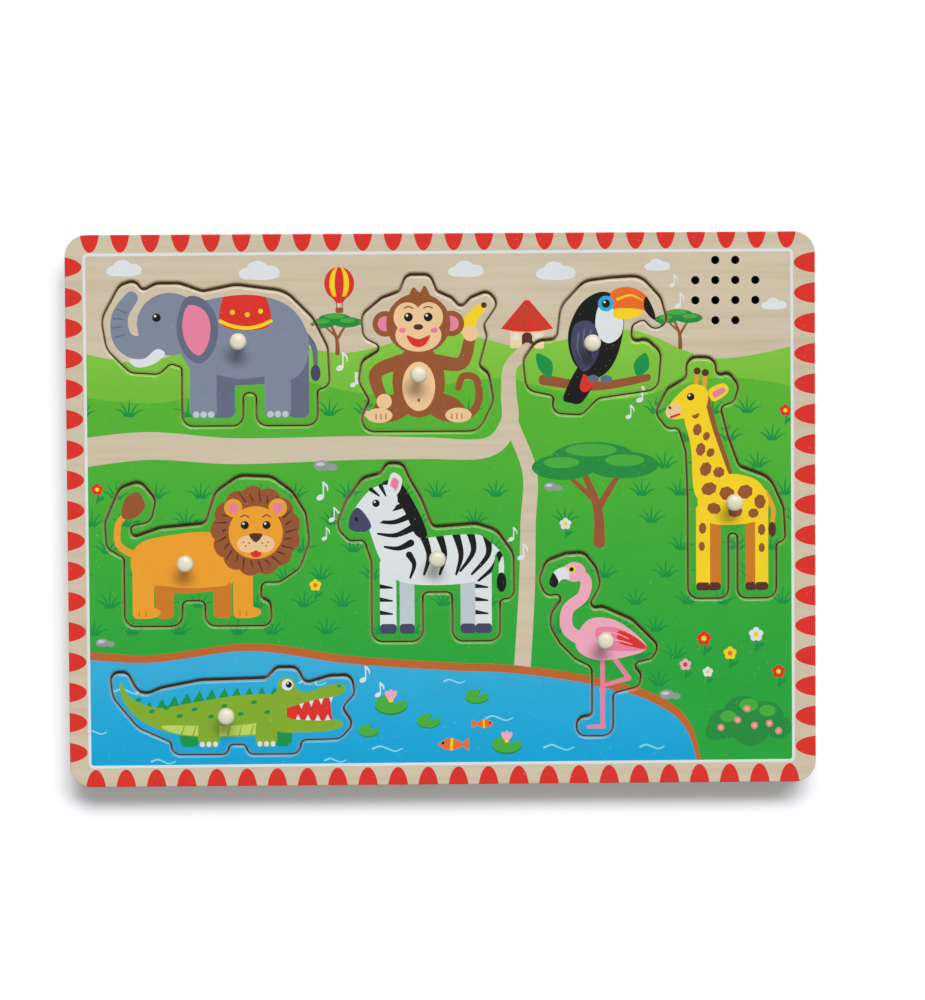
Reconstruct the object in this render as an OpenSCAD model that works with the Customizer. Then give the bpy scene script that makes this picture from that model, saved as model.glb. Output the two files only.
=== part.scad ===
// Wooden sound puzzle: eight lift-out animal pieces in a hollow board with a speaker,
// light sensors under the wells and a battery box in the back.
// Origin: centre of the board's underside. +X to the right, +Y to the rear edge, +Z up.

/* [Board] */
// Width of the board
board_w = 400; // [390:1:440]
// Depth of the board, front to rear
board_d = 295; // [285:1:330]
// Radius of the board's corners
corner_r = 11.5; // [4:0.5:20]
// Thickness of the printed face board, which the pieces fill
face_t = 7.5; // [6:0.5:12]
// Thickness of the sheet under the wells
floor_t = 2; // [1:0.5:4]
// Height of the frame rails between the sheet and the back panel
rail_h = 11.5; // [11:0.5:20]
// Width of the frame rails
rail_w = 12; // [8:0.5:13]
// Thickness of the back panel
back_t = 3; // [2.5:0.5:5]

/* [Pieces] */
// Width and depth of the board that the places of the figures are given for
drawing = [400, 295]; // [200:1:600]
// Size of the pieces against their drawn outlines
figure_scale = 0.88; // [0.8:0.01:0.9]
// Gap between a piece and the wall of its well, all round
well_gap = 0.9; // [0.8:0.1:1.8]
// How far each piece has settled towards the front edge of its well
settle = 0.3; // [0:0.1:0.6]
// Place of the elephant on the board
elephant_at = [-118, 50]; // [-200:1:200]
// Place of the monkey on the board
monkey_at = [-12, 46]; // [-200:1:200]
// Place of the toucan on the board
toucan_at = [82, 57]; // [-200:1:200]
// Place of the lion on the board
lion_at = [-126, -57]; // [-200:1:200]
// Place of the zebra on the board
zebra_at = [-8, -66]; // [-200:1:200]
// Place of the giraffe on the board
giraffe_at = [150, -44]; // [-200:1:200]
// Place of the flamingo on the board
flamingo_at = [82, -118]; // [-200:1:200]
// Place of the crocodile on the board
crocodile_at = [-112, -126]; // [-200:1:200]

/* [Knobs] */
// Diameter of a knob's head
knob_d = 9; // [7:0.1:14]
// Height of a knob above the piece
knob_h = 15; // [8:0.5:20]
// Height of the head alone
knob_head_h = 6.4; // [4:0.2:7.6]
// Diameter of the stem and of its tenon
stem_d = 5.5; // [3:0.1:6.5]
// Depth of the tenon in the piece
tenon_h = 5.5; // [3:0.5:5.5]
// Gap around the tenon in its hole
tenon_gap = 0.05; // [0.02:0.01:0.1]

/* [Sound holes and speaker] */
// Distance of the sound holes and the speaker under them from the right and rear edges of the board
sound_in = [48, 31.2]; // [20:0.1:200]
// Diameter of a sound hole
sound_hole_d = 4.3; // [2:0.1:8]
// Distance from one sound hole to the next
sound_pitch = 10.7; // [9:0.1:12]
// Diameter of the speaker's flange
speaker_d = 36; // [34:1:38]
// Width of the flange
flange_w = 3; // [2:0.5:4]
// Thickness of the foam ring over the flange
gasket_t = 0.6; // [0.4:0.1:0.8]
// Depth of the speaker's basket under the flange
basket_h = 4.4; // [3.6:0.2:5]
// Thickness of the basket's wall
basket_wall = 0.9; // [0.6:0.1:1.2]
// Diameter of the magnet
magnet_d = 16; // [12:1:20]
// Height of the magnet
magnet_h = 3; // [2:0.5:3.5]
// Thickness of the paper cone
cone_t = 0.5; // [0.3:0.1:0.8]

/* [Circuit] */
// Place across the board of the circuit board's centre
circuit_x = 40; // [-100:1:100]
// Gap between the circuit board and the rear rail
circuit_gap = 12; // [4:1:30]
// Length of the circuit board
circuit_l = 56; // [46:1:70]
// Depth of the circuit board
circuit_d = 30; // [26:1:40]
// Thickness of the circuit board and of the sensor boards
pcb_t = 1.6; // [1:0.1:2]
// Diameter of the sound chip's cap of resin
chip_d = 12; // [8:1:14]
// Height of the resin cap
chip_h = 2; // [1.5:0.5:3]
// Diameter of a capacitor
capacitor_d = 5; // [4:0.5:6]
// Height of a capacitor
capacitor_h = 7; // [5:0.5:8]
// Distance between the capacitors
capacitor_pitch = 9; // [7:0.5:10]
// Distance of the chip and the capacitors from the edge of the circuit board
part_margin = 1.5; // [0.5:0.5:3]
// Length of a sensor board
sensor_board_l = 16; // [12:1:20]
// Depth of a sensor board
sensor_board_d = 12; // [10:1:16]
// Diameter of the window over a sensor
window_d = 6; // [5.4:0.1:8]
// Diameter of a light sensor
sensor_d = 5; // [3:0.1:5]
// Gap between a light sensor and the piece over it
sensor_drop = 0.5; // [0.3:0.1:0.6]
// Place across the board of the main run of flat cable
cable_x = 30; // [25:1:36]
// Width of the flat cable
cable_w = 4; // [2:0.5:6]
// Thickness of the flat cable
cable_t = 1.2; // [0.6:0.1:1.6]

/* [Battery box] */
// Place across the board of the battery box's centre
battery_x = 72; // [-100:1:100]
// Distance of the battery box's centre from the front edge of the board
battery_in = 47; // [35:1:100]
// Diameter of a cell (AAA)
cell_d = 10.5; // [10:0.1:10.5]
// Length of a cell over its button (AAA)
cell_l = 44.5; // [43.5:0.1:46]
// Diameter of a cell's button
button_d = 3.8; // [3:0.1:5]
// Height of a cell's button
button_h = 0.8; // [0.5:0.1:1.5]
// Gap beside and between the cells
cell_gap = 0.6; // [0.3:0.1:2]
// Wall of the battery box
box_wall = 1.6; // [1.4:0.1:2.5]
// Roof of the battery box
box_roof = 0.8; // [0.6:0.1:1]
// Width of the box's flange behind the back panel
box_flange_w = 4; // [2:0.5:6]
// Thickness of the flange
box_flange_t = 1.5; // [1:0.1:3]
// Gap between the box and the opening in the back panel
box_gap = 0.3; // [0.1:0.05:0.5]
// Thickness of a contact plate
contact_t = 0.5; // [0.3:0.1:0.8]
// Height of a contact plate
contact_h = 8; // [6:0.5:9]
// Length of a contact spring with a cell in place
spring_l = 4.5; // [3:0.5:7]
// Diameter of a contact spring at its foot
spring_d = 8; // [6:0.5:9]
// Diameter of a contact spring at its tip
spring_tip_d = 4.4; // [3:0.2:5]
// Thickness of the spring's wire
spring_wire = 0.7; // [0.4:0.1:1]
// Length of the chamber beside the cells for the cover's screw
chamber_l = 8; // [7:0.5:12]
// Wall of the sleeve that takes the cover's screw
sleeve_wall = 1.2; // [0.8:0.1:1.4]
// Thickness of the battery cover
cover_t = 2.4; // [2.2:0.1:2.6]
// How far the cover lies above the underside of the board
cover_inset = 0.1; // [0.05:0.05:0.2]
// Gap around the battery cover
cover_gap = 0.35; // [0.3:0.05:0.5]
// Diameter of the cover's hinge pins
pin_d = 1.6; // [1.2:0.1:1.8]
// Length of a hinge pin past the cover's edge
pin_l = 1.2; // [0.8:0.1:1.5]
// Gap around a hinge pin in its hole
pin_gap = 0.05; // [0.02:0.01:0.1]
// Diameter of the cover screw's head
cover_head_d = 4.4; // [3.6:0.1:5]
// Height of the cover screw's head
cover_head_h = 1.2; // [0.8:0.1:1.3]
// How far the cover screw's head lies inside the cover
cover_head_inset = 0.15; // [0.05:0.05:0.3]
// Gap around the cover screw's head
cover_head_gap = 0.4; // [0.1:0.1:0.6]
// Diameter of the cover screw's shank
cover_shank_d = 2.2; // [1.6:0.1:2.4]
// Length of the cover screw's shank
cover_shank_l = 4.6; // [3:0.2:6]
// Gap around the cover screw in its cover
cover_screw_gap = 0.05; // [0.02:0.01:0.1]
// Gap around the cover screw in its sleeve, which lets the cover swing out
sleeve_gap = 0.7; // [0.5:0.1:0.9]

/* [Back screws] */
// Diameter of a screw's countersunk head
screw_head_d = 6; // [5:0.1:7]
// Depth of the countersunk head
screw_head_h = 1.6; // [1:0.1:2]
// How far a head lies above the underside of the board
screw_inset = 0.3; // [0.1:0.1:0.4]
// Diameter of a screw's shank
screw_d = 2.9; // [2:0.1:3.5]
// Length of a screw over its head
screw_l = 11; // [7:0.5:13]
// Gap around a screw
screw_gap = 0.05; // [0.02:0.01:0.1]
// Width and depth of the cross slot in a screw's head
cross_w = 0.8; // [0.4:0.1:1]
// Distance between the screws along the front and rear rails
screw_pitch_x = 150; // [100:1:170]
// Distance between the screws along the side rails
screw_pitch_y = 130; // [80:1:180]

/* [Hidden] */
$fn = 48;
over = 1;
corner_steps = 5;
board_corner_steps = 12;

z_floor = back_t + rail_h;
z_well = z_floor + floor_t;
z_top = z_well + face_t;
z_pcb = z_floor - pcb_t;

sound_at = [board_w / 2 - sound_in.x, board_d / 2 - sound_in.y];
circuit_at = [circuit_x, board_d / 2 - rail_w - circuit_gap - circuit_d / 2];
battery_at = [battery_x, battery_in - board_d / 2];

wood_colour = "burlywood";
board_colour = "tan";
metal_colour = "silver";
plastic_colour = "dimgray";

// Each outline runs anticlockwise through [x, y, corner radius], drawn at full scale about the figure's feet.
elephant_pts = [
    [-22.5, -4.5, 6], [13.5, -4.5, 6], [13.5, 15.5, 4], [22.5, 15.5, 4], [22.5, -4.5, 6], [58.5, -4.5, 6],
    [58.5, 17, 3], [66, 19, 5], [65, 42, 12], [56, 60, 14], [40, 76, 18], [10, 80, 20], [-10, 76, 8],
    [-24, 81, 12], [-38, 81, 8], [-46.5, 76.5, 3.5], [-51, 83, 5], [-60, 80, 7], [-71, 60, 14],
    [-68, 42, 12], [-54, 28, 8], [-37, 27, 6], [-30, 33.5, 4], [-22.5, 31, 3]];
monkey_pts = [
    [-38, -4, 7], [36, -4, 9], [45, 14, 12], [42, 30, 5], [36, 35, 4], [41, 53, 6], [39, 60, 5],
    [48, 73, 5], [42, 80, 5], [32, 76, 4], [26, 69.5, 3.5], [20, 76, 5], [11, 80, 4], [7, 90, 5],
    [-7, 90, 5], [-11, 80, 4], [-22, 76, 8], [-34, 66, 7], [-33, 53, 6], [-20, 46.5, 3.5],
    [-34, 38, 6], [-36, 26, 8], [-29.5, 14.5, 4]];
toucan_pts = [
    [-41, 8, 7], [-24, 4.5, 3.5], [-26, -6, 5], [-8, -7, 6], [2, 3, 8], [38, 8, 7], [40, 30, 8],
    [31, 38, 6], [21.5, 35, 4], [22.5, 47, 4], [30, 51, 4], [36, 44, 5], [44, 48, 5], [40, 63, 10],
    [28, 76, 12], [10, 75, 10], [-6, 73, 12], [-20, 58, 14], [-22.5, 38, 5], [-35, 37, 8], [-43, 26, 8]];
lion_pts = [
    [-49.5, -4.5, 6], [-15.5, -4.5, 6], [-15.5, 11, 4], [-0.5, 11, 4], [-0.5, -4.5, 6], [39, -4.5, 5],
    [38, 9, 3], [32.5, 12, 3], [32.5, 22, 4], [44, 22, 6], [56, 30, 10], [62, 46, 10], [60, 63, 10],
    [52, 76, 10], [40, 85, 10], [20, 86, 12], [6, 76, 10], [0, 57, 6], [-28, 54.5, 14],
    [-45, 48.5, 3.2], [-47, 56.5, 3.2], [-34, 59, 6], [-31, 72, 7], [-40, 83, 6], [-52, 79, 8],
    [-61, 58, 10], [-60, 43, 6], [-49.5, 37, 4]];
zebra_pts = [
    [-33.5, -4.5, 6], [-3.5, -4.5, 6], [-3.5, 25.5, 4], [15.5, 25.5, 4], [15.5, -4.5, 6], [43.5, -4.5, 6],
    [43.5, 21, 3.5], [52, 21, 4.5], [52, 48, 12], [42, 62, 12], [30, 66, 12], [3, 64, 5], [-4, 82, 14],
    [-11, 94, 8], [-15, 103, 5], [-24, 103, 4], [-28, 97, 4], [-39, 94, 8], [-49, 80, 10], [-55, 65, 8],
    [-47, 57, 4], [-38, 57.5, 4], [-33.5, 44, 8]];
giraffe_pts = [
    [-20.5, -4.5, 6], [3.2, -4.5, 5], [3.2, 35, 3.1], [9.8, 35, 3.1], [9.8, -4.5, 5], [32.5, -4.5, 6],
    [32.5, 28, 3.2], [38, 31, 3.5], [37, 50, 12], [29, 68, 14], [10, 75, 6], [3, 94, 24], [-1.5, 112, 4],
    [7, 115, 4], [10, 124, 6], [4, 132, 4], [-4, 129, 3.5], [-4, 141, 6], [-21, 141.5, 6], [-21, 129, 5],
    [-33, 122, 8], [-40, 108, 6], [-33, 99, 4], [-26, 99.5, 4], [-21.5, 84, 14], [-20.5, 56, 12]];
flamingo_pts = [
    [-11.5, -4, 5], [9.8, -4, 6], [9.8, 22, 4], [26, 26, 4], [27, 33, 3.5], [21, 40, 3.2], [34, 43, 4],
    [38, 50, 5], [22, 66, 14], [4, 74, 6], [-7, 72, 3.5], [-2, 80, 8], [2.5, 88, 8], [0, 98, 8],
    [-7, 107, 6], [-18, 106.5, 8], [-30, 102, 7], [-34, 91, 6], [-30, 81.5, 5], [-19, 83.5, 3],
    [-21.5, 77.5, 3], [-27, 70, 8], [-27, 62, 8], [-21, 52, 10], [-12, 43, 10], [-2, 38, 5], [-2, 7, 4],
    [-11.5, 7, 5]];
crocodile_pts = [
    [-37.5, -4.5, 5], [-4.5, -4.5, 3.8], [-3.5, 1.5, 3.2], [7.5, 1.5, 3.2], [8.5, -4.5, 3.8],
    [39.5, -4.5, 5], [40, 4, 3.8], [64, 4.5, 7], [72, 13, 5], [65, 23, 4], [73, 32, 5], [71, 42.5, 5],
    [58, 42, 8], [43, 37.5, 5], [38, 47.5, 5], [26, 47.5, 5], [20, 41, 6], [-20, 40, 20], [-44, 35.5, 14],
    [-57, 30, 8], [-65, 45, 4.5], [-75, 45, 4.5], [-73, 30, 12], [-58, 12, 14], [-38, 3, 4]];

// Every figure: its outline, its place on the board and its knob's place on the drawing
elephant = [elephant_pts, elephant_at, [12, 46]];
monkey = [monkey_pts, monkey_at, [0, 30]];
toucan = [toucan_pts, toucan_at, [-2, 36]];
lion = [lion_pts, lion_at, [-12, 34]];
zebra = [zebra_pts, zebra_at, [6, 46]];
giraffe = [giraffe_pts, giraffe_at, [6, 54]];
flamingo = [flamingo_pts, flamingo_at, [5, 55]];
crocodile = [crocodile_pts, crocodile_at, [-4, 20]];
figures = [elephant, monkey, toucan, lion, zebra, giraffe, flamingo, crocodile];

// The places spread with the board, and the figures keep their proportions on it
spread = [board_w / drawing.x, board_d / drawing.y];
figure_fit = figure_scale * min(spread);
function place(figure) = [spread.x * figure[1].x, spread.y * figure[1].y];

// Middle of a figure, where its knob stands and its light sensor lies under the well
function middle(figure) = place(figure) + figure_fit * figure[2];

// Outward normal of the edge from a to b on an anticlockwise outline
function outward(a, b) = let (d = (b - a) / norm(b - a)) [d.y, -d.x];

// Points of one rounded corner at b, with the outline moved outwards by grow
function corner(a, b, c, r, grow, steps) =
    let (n1 = outward(a, b),
         n2 = outward(b, c),
         miter = (n1 + n2) / (1 + n1 * n2),
         sweep = atan2(cross(n1, n2), n1 * n2),
         side = sweep > 0 ? 1 : -1,
         radius = r + side * grow,
         centre = b + (grow - side * radius) * miter,
         start = atan2(n1.y, n1.x))
    [for (i = [0:steps])
        let (turn = start + sweep * i / steps)
        centre + side * radius * [cos(turn), sin(turn)]];

function flat(p) = [p.x, p.y];

function rounded(pts, grow = 0, steps = corner_steps) =
    [for (i = [0:len(pts) - 1])
        let (n = len(pts), a = pts[(i + n - 1) % n], b = pts[i], c = pts[(i + 1) % n])
        each corner(flat(a), flat(b), flat(c), b[2], grow, steps)];

function rectangle(w, d, r) =
    [for (turn = [225, 315, 45, 135]) [sign(cos(turn)) * w / 2, sign(sin(turn)) * d / 2, r]];

module board_shape() {
    polygon(rounded(rectangle(board_w, board_d, corner_r), 0, board_corner_steps));
}

module figure_shape(figure, grow) {
    translate(place(figure))
        polygon(rounded(figure_fit * figure[0], grow));
}

// The twelve sound holes: rows of two, four, four and two
sound_holes = [
    for (ix = [-1.5:1.5], iy = [-1.5:1.5])
        if (abs(ix) + abs(iy) < 3)
            sound_at + sound_pitch * [ix, iy]];

module sound_bores(z, h) {
    for (p = sound_holes)
        translate([p.x, p.y, z])
            cylinder(d = sound_hole_d, h = h);
}

module face_board() {
    color(board_colour)
        difference() {
            translate([0, 0, z_well])
                linear_extrude(face_t) board_shape();
            for (figure = figures)
                translate([0, 0, z_well - over])
                    linear_extrude(face_t + 2 * over) figure_shape(figure, well_gap);
            sound_bores(z_well - over, face_t + 2 * over);
        }
}

module well_floor() {
    color(board_colour)
        difference() {
            translate([0, 0, z_floor])
                linear_extrude(floor_t) board_shape();
            for (figure = figures)
                translate([middle(figure).x, middle(figure).y, z_floor - over])
                    cylinder(d = window_d, h = floor_t + 2 * over);
            sound_bores(z_floor - over, floor_t + 2 * over);
        }
}

// Pieces and knobs
module piece(figure, colour) {
    color(colour)
        translate([0, -settle, 0])
            difference() {
                translate([0, 0, z_well])
                    linear_extrude(face_t) figure_shape(figure, 0);
                translate([middle(figure).x, middle(figure).y, z_top - tenon_h])
                    cylinder(d = stem_d + 2 * tenon_gap, h = tenon_h + over);
            }
}

head_r = knob_d / 2;
head_z = knob_h - knob_head_h;
head_curve = [for (a = [-60:10:80]) [head_r * cos(a), knob_head_h * (1 + sin(a)) / 2]];

module knob(figure) {
    color("ivory")
        translate([middle(figure).x, middle(figure).y - settle, z_top])
            rotate_extrude()
                polygon(concat(
                    [[0, -tenon_h], [stem_d / 2, -tenon_h], [stem_d / 2, head_z]],
                    [for (p = head_curve) if (p.x > stem_d / 2 || p.y > knob_head_h / 2) p + [0, head_z]],
                    [[0, knob_h]]));
}

module elephant_piece() { piece(elephant, "slategray"); }
module monkey_piece() { piece(monkey, "sienna"); }
module toucan_piece() { piece(toucan, "black"); }
module lion_piece() { piece(lion, "orange"); }
module zebra_piece() { piece(zebra, "white"); }
module giraffe_piece() { piece(giraffe, "gold"); }
module flamingo_piece() { piece(flamingo, "pink"); }
module crocodile_piece() { piece(crocodile, "olivedrab"); }

module elephant_knob() { knob(elephant); }
module monkey_knob() { knob(monkey); }
module toucan_knob() { knob(toucan); }
module lion_knob() { knob(lion); }
module zebra_knob() { knob(zebra); }
module giraffe_knob() { knob(giraffe); }
module flamingo_knob() { knob(flamingo); }
module crocodile_knob() { knob(crocodile); }

// Frame rails: front and rear run the full width, the sides fit between them
rail_x = board_w / 2 - rail_w / 2;
rail_y = board_d / 2 - rail_w / 2;
back_screws = concat(
    [for (ix = [-1:1], iy = [-1, 1]) [ix * screw_pitch_x, iy * rail_y]],
    [for (ix = [-1, 1], iy = [-0.5, 0.5]) [ix * rail_x, iy * screw_pitch_y]]);

sink_d = screw_head_d + 2 * screw_gap;

module back_screw_bores() {
    for (p = back_screws)
        translate([p.x, p.y, -over])
            cylinder(d = screw_d + 2 * screw_gap, h = screw_inset + screw_l + over);
}

module rail(across, along, at) {
    color(wood_colour)
        difference() {
            intersection() {
                translate([0, 0, back_t])
                    linear_extrude(rail_h) board_shape();
                translate([at.x - across / 2, at.y - along / 2, back_t])
                    cube([across, along, rail_h]);
            }
            back_screw_bores();
        }
}

module rail_front() { rail(board_w, rail_w, [0, -rail_y]); }
module rail_rear() { rail(board_w, rail_w, [0, rail_y]); }
module rail_left() { rail(rail_w, board_d - 2 * rail_w, [-rail_x, 0]); }
module rail_right() { rail(rail_w, board_d - 2 * rail_w, [rail_x, 0]); }

// Battery box, seen from its own centre: cells along X, hinge at the left end, screw chamber at the right
bay_l = cell_l + spring_l + 2 * contact_t;
inner_l = bay_l + box_wall + chamber_l;
inner_d = 2 * cell_d + 3 * cell_gap;
box_l = inner_l + 2 * box_wall;
box_d = inner_d + 2 * box_wall;
bay_x = -inner_l / 2;
bay_end = bay_x + bay_l;
chamber_x = bay_end + box_wall;
cell_y = (cell_d + cell_gap) / 2;
cover_z = cover_inset + cover_t;
cell_z = z_floor - box_roof - cell_d / 2 - (z_floor - box_roof - cover_z - cell_d) / 2;
hinge_x = bay_x + cover_gap + cover_t / 2;
hinge_z = cover_inset + cover_t / 2;
cover_l = inner_l - 2 * cover_gap;
cover_d = inner_d - 2 * cover_gap;
cover_screw_x = chamber_x + chamber_l / 2;
cover_head_z = cover_inset + cover_head_inset + cover_head_h;
sleeve_d = cover_shank_d + 2 * sleeve_gap;

module in_box() {
    translate([battery_at.x, battery_at.y, 0]) children();
}

module along_hinge(r, reach) {
    translate([hinge_x, 0, hinge_z])
        rotate([90, 0, 0])
            cylinder(r = r, h = 2 * reach, center = true);
}

module back_panel() {
    color(wood_colour)
        difference() {
            linear_extrude(back_t) board_shape();
            back_screw_bores();
            for (p = back_screws)
                translate([p.x, p.y, screw_inset]) {
                    translate([0, 0, -screw_inset - over])
                        cylinder(d = sink_d, h = screw_inset + over);
                    cylinder(d1 = sink_d, d2 = sink_d - screw_head_d + screw_d, h = screw_head_h);
                }
            in_box()
                translate([-box_l / 2 - box_gap, -box_d / 2 - box_gap, -over])
                    cube([box_l + 2 * box_gap, box_d + 2 * box_gap, back_t + 2 * over]);
        }
}

module panel_screws() {
    color(metal_colour)
        for (p = back_screws)
            translate([p.x, p.y, screw_inset])
                difference() {
                    union() {
                        cylinder(d1 = screw_head_d, d2 = screw_d, h = screw_head_h);
                        cylinder(d = screw_d, h = screw_l);
                    }
                    cross_slot(screw_head_d / 2);
                }
}

module cross_slot(length) {
    for (turn = [0, 90])
        rotate([0, 0, turn])
            translate([-length / 2, -cross_w / 2, -over])
                cube([length, cross_w, cross_w + over]);
}

module battery_box() {
    color(plastic_colour)
        in_box()
            difference() {
                union() {
                    translate([-box_l / 2, -box_d / 2, 0])
                        cube([box_l, box_d, z_floor]);
                    translate([-box_l / 2 - box_flange_w, -box_d / 2 - box_flange_w, back_t])
                        cube([box_l + 2 * box_flange_w, box_d + 2 * box_flange_w, box_flange_t]);
                }
                translate([bay_x, -inner_d / 2, -over])
                    cube([bay_l, inner_d, z_floor - box_roof + over]);
                translate([chamber_x, -inner_d / 2, -over])
                    cube([chamber_l, inner_d, z_floor - box_roof + over]);
                translate([bay_x, -inner_d / 2, -over])
                    cube([inner_l, inner_d, cover_z + over]);
                along_hinge(pin_d / 2 + pin_gap, cover_d / 2 + pin_l + pin_gap);
            }
}

module screw_sleeve() {
    color(plastic_colour)
        in_box()
            translate([cover_screw_x, 0, cover_z])
                difference() {
                    cylinder(d = sleeve_d + 2 * sleeve_wall, h = z_floor - box_roof - cover_z);
                    translate([0, 0, -over])
                        cylinder(d = sleeve_d, h = z_floor + 2 * over);
                }
}

module battery_cover() {
    color(plastic_colour)
        in_box()
            difference() {
                union() {
                    translate([hinge_x, -cover_d / 2, cover_inset])
                        cube([cover_l - cover_t / 2, cover_d, cover_t]);
                    along_hinge(cover_t / 2, cover_d / 2);
                    along_hinge(pin_d / 2, cover_d / 2 + pin_l);
                }
                translate([cover_screw_x, 0, 0]) {
                    cylinder(d = cover_shank_d + 2 * cover_screw_gap, h = cover_z + over);
                    translate([0, 0, -over])
                        cylinder(d = cover_head_d + 2 * cover_head_gap, h = cover_head_z + over);
                }
            }
}

module cover_screw() {
    color(metal_colour)
        in_box()
            translate([cover_screw_x, 0, cover_head_z - cover_head_h])
                difference() {
                    union() {
                        cylinder(d = cover_head_d, h = cover_head_h);
                        cylinder(d = cover_shank_d, h = cover_head_h + cover_shank_l);
                    }
                    cross_slot(cover_head_d / 2);
                }
}

// The rear cell has its spring at the left, the front cell is turned round
module each_cell() {
    for (end = [1, -1])
        translate([bay_x + bay_l / 2, end * cell_y, cell_z])
            rotate([0, 0, end > 0 ? 0 : 180])
                translate([-bay_l / 2, 0, 0])
                    rotate([0, 90, 0])
                        children();
}

module battery_cells() {
    color("seagreen")
        in_box()
            each_cell()
                translate([0, 0, contact_t + spring_l]) {
                    cylinder(d = cell_d, h = cell_l - button_h);
                    cylinder(d = button_d, h = cell_l);
                }
}

module contact_springs() {
    color(metal_colour)
        in_box()
            each_cell()
                translate([0, 0, contact_t])
                    difference() {
                        cylinder(d1 = spring_d, d2 = spring_tip_d, h = spring_l);
                        translate([0, 0, -over])
                            cylinder(d = spring_tip_d - 2 * spring_wire, h = spring_l + 2 * over);
                    }
}

module contact_plates() {
    color(metal_colour)
        in_box() {
            for (end = [1, -1])
                translate([bay_x, end * cell_y - contact_h / 2, cell_z - contact_h / 2])
                    cube([contact_t, contact_h, contact_h]);
            translate([bay_end - contact_t, -cell_y - contact_h / 2, cell_z - contact_h / 2])
                cube([contact_t, 2 * cell_y + contact_h, contact_h]);
        }
}

// Speaker under the sound holes
z_flange = z_pcb;
flange_t = pcb_t - gasket_t;
basket_r = speaker_d / 2 - flange_w;
z_rim = z_flange + flange_t;
z_basket = z_flange - basket_h;
z_cup = z_basket + basket_wall;
magnet_r = magnet_d / 2;
coil_r = magnet_r / 2;

module at_speaker() {
    translate([sound_at.x, sound_at.y, 0]) children();
}

module speaker_gasket() {
    color("black")
        at_speaker()
            translate([0, 0, z_floor - gasket_t])
                difference() {
                    cylinder(d = speaker_d, h = gasket_t);
                    translate([0, 0, -over])
                        cylinder(r = basket_r, h = gasket_t + 2 * over);
                }
}

module speaker_frame() {
    color(metal_colour)
        at_speaker()
            rotate_extrude()
                polygon([
                    [basket_r, z_rim], [basket_r, z_flange], [magnet_r, z_cup], [0, z_cup], [0, z_basket],
                    [magnet_r + basket_wall, z_basket], [basket_r + basket_wall, z_flange],
                    [speaker_d / 2, z_flange], [speaker_d / 2, z_rim]]);
}

module speaker_cone() {
    color("gray")
        at_speaker()
            rotate_extrude()
                polygon([
                    [0, z_cup], [coil_r, z_cup], [coil_r, z_cup + cone_t],
                    [basket_r - cone_t, z_rim - cone_t], [basket_r, z_rim - cone_t],
                    [basket_r, z_rim], [basket_r - 2 * cone_t, z_rim],
                    [coil_r - cone_t, z_cup + 2 * cone_t], [0, z_cup + 3 * cone_t]]);
}

module speaker_magnet() {
    color("darkslategray")
        at_speaker()
            translate([0, 0, z_basket - magnet_h])
                cylinder(r = magnet_r, h = magnet_h);
}

// Circuit board, sensors and cable, all glued under the sheet
circuit_rear = circuit_at.y + circuit_d / 2 - part_margin;
cable_y = circuit_at.y - circuit_d / 2 + cable_w / 2;
cable_ends = concat([battery_at.y, cable_y], [for (figure = figures) middle(figure).y]);

module circuit_board() {
    color("darkgreen")
        translate([circuit_at.x - circuit_l / 2, circuit_at.y - circuit_d / 2, z_pcb])
            cube([circuit_l, circuit_d, pcb_t]);
}

module sound_chip() {
    color("black")
        translate([circuit_at.x, circuit_rear - chip_d / 2, z_pcb - chip_h])
            cylinder(d1 = chip_d / 2, d2 = chip_d, h = chip_h);
}

module capacitors() {
    color("navy")
        for (row = [0, 1])
            translate([
                circuit_at.x + circuit_l / 2 - part_margin - capacitor_d / 2,
                circuit_rear - capacitor_d / 2 - row * capacitor_pitch,
                z_pcb - capacitor_h])
                cylinder(d = capacitor_d, h = capacitor_h);
}

module sensor_boards() {
    color("darkgreen")
        for (figure = figures)
            translate([middle(figure).x - sensor_board_l / 2, middle(figure).y - sensor_board_d / 2, z_pcb])
                cube([sensor_board_l, sensor_board_d, pcb_t]);
}

module light_sensors() {
    color("orangered")
        for (figure = figures)
            translate([middle(figure).x, middle(figure).y, z_floor])
                cylinder(d = sensor_d, h = floor_t - sensor_drop);
}

module cable_run(p, q) {
    translate([min(p.x, q.x) - cable_w / 2, min(p.y, q.y) - cable_w / 2, z_pcb - cable_t])
        cube([abs(p.x - q.x) + cable_w, abs(p.y - q.y) + cable_w, cable_t]);
}

module wire_ribbons() {
    color("crimson") {
        cable_run([cable_x, min(cable_ends)], [cable_x, max(cable_ends)]);
        for (figure = figures)
            cable_run([cable_x, middle(figure).y], middle(figure));
        cable_run([cable_x, battery_at.y], [battery_at.x - box_l / 2 - cable_w / 2, battery_at.y]);
        cable_run([cable_x, cable_y], [sound_at.x, cable_y]);
        cable_run([sound_at.x, cable_y], [sound_at.x, sound_at.y - speaker_d / 2 + (flange_w - cable_w) / 2]);
    }
}

elephant_piece();
monkey_piece();
toucan_piece();
lion_piece();
zebra_piece();
giraffe_piece();
flamingo_piece();
crocodile_piece();
elephant_knob();
monkey_knob();
toucan_knob();
lion_knob();
zebra_knob();
giraffe_knob();
flamingo_knob();
crocodile_knob();
face_board();
well_floor();
rail_front();
rail_rear();
rail_left();
rail_right();
back_panel();
panel_screws();
battery_box();
screw_sleeve();
battery_cover();
cover_screw();
battery_cells();
contact_springs();
contact_plates();
speaker_gasket();
speaker_frame();
speaker_cone();
speaker_magnet();
circuit_board();
sound_chip();
capacitors();
sensor_boards();
light_sensors();
wire_ribbons();
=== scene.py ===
import math

import bmesh
import bpy
import numpy as np
from mathutils import Matrix, Vector, geometry


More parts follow.
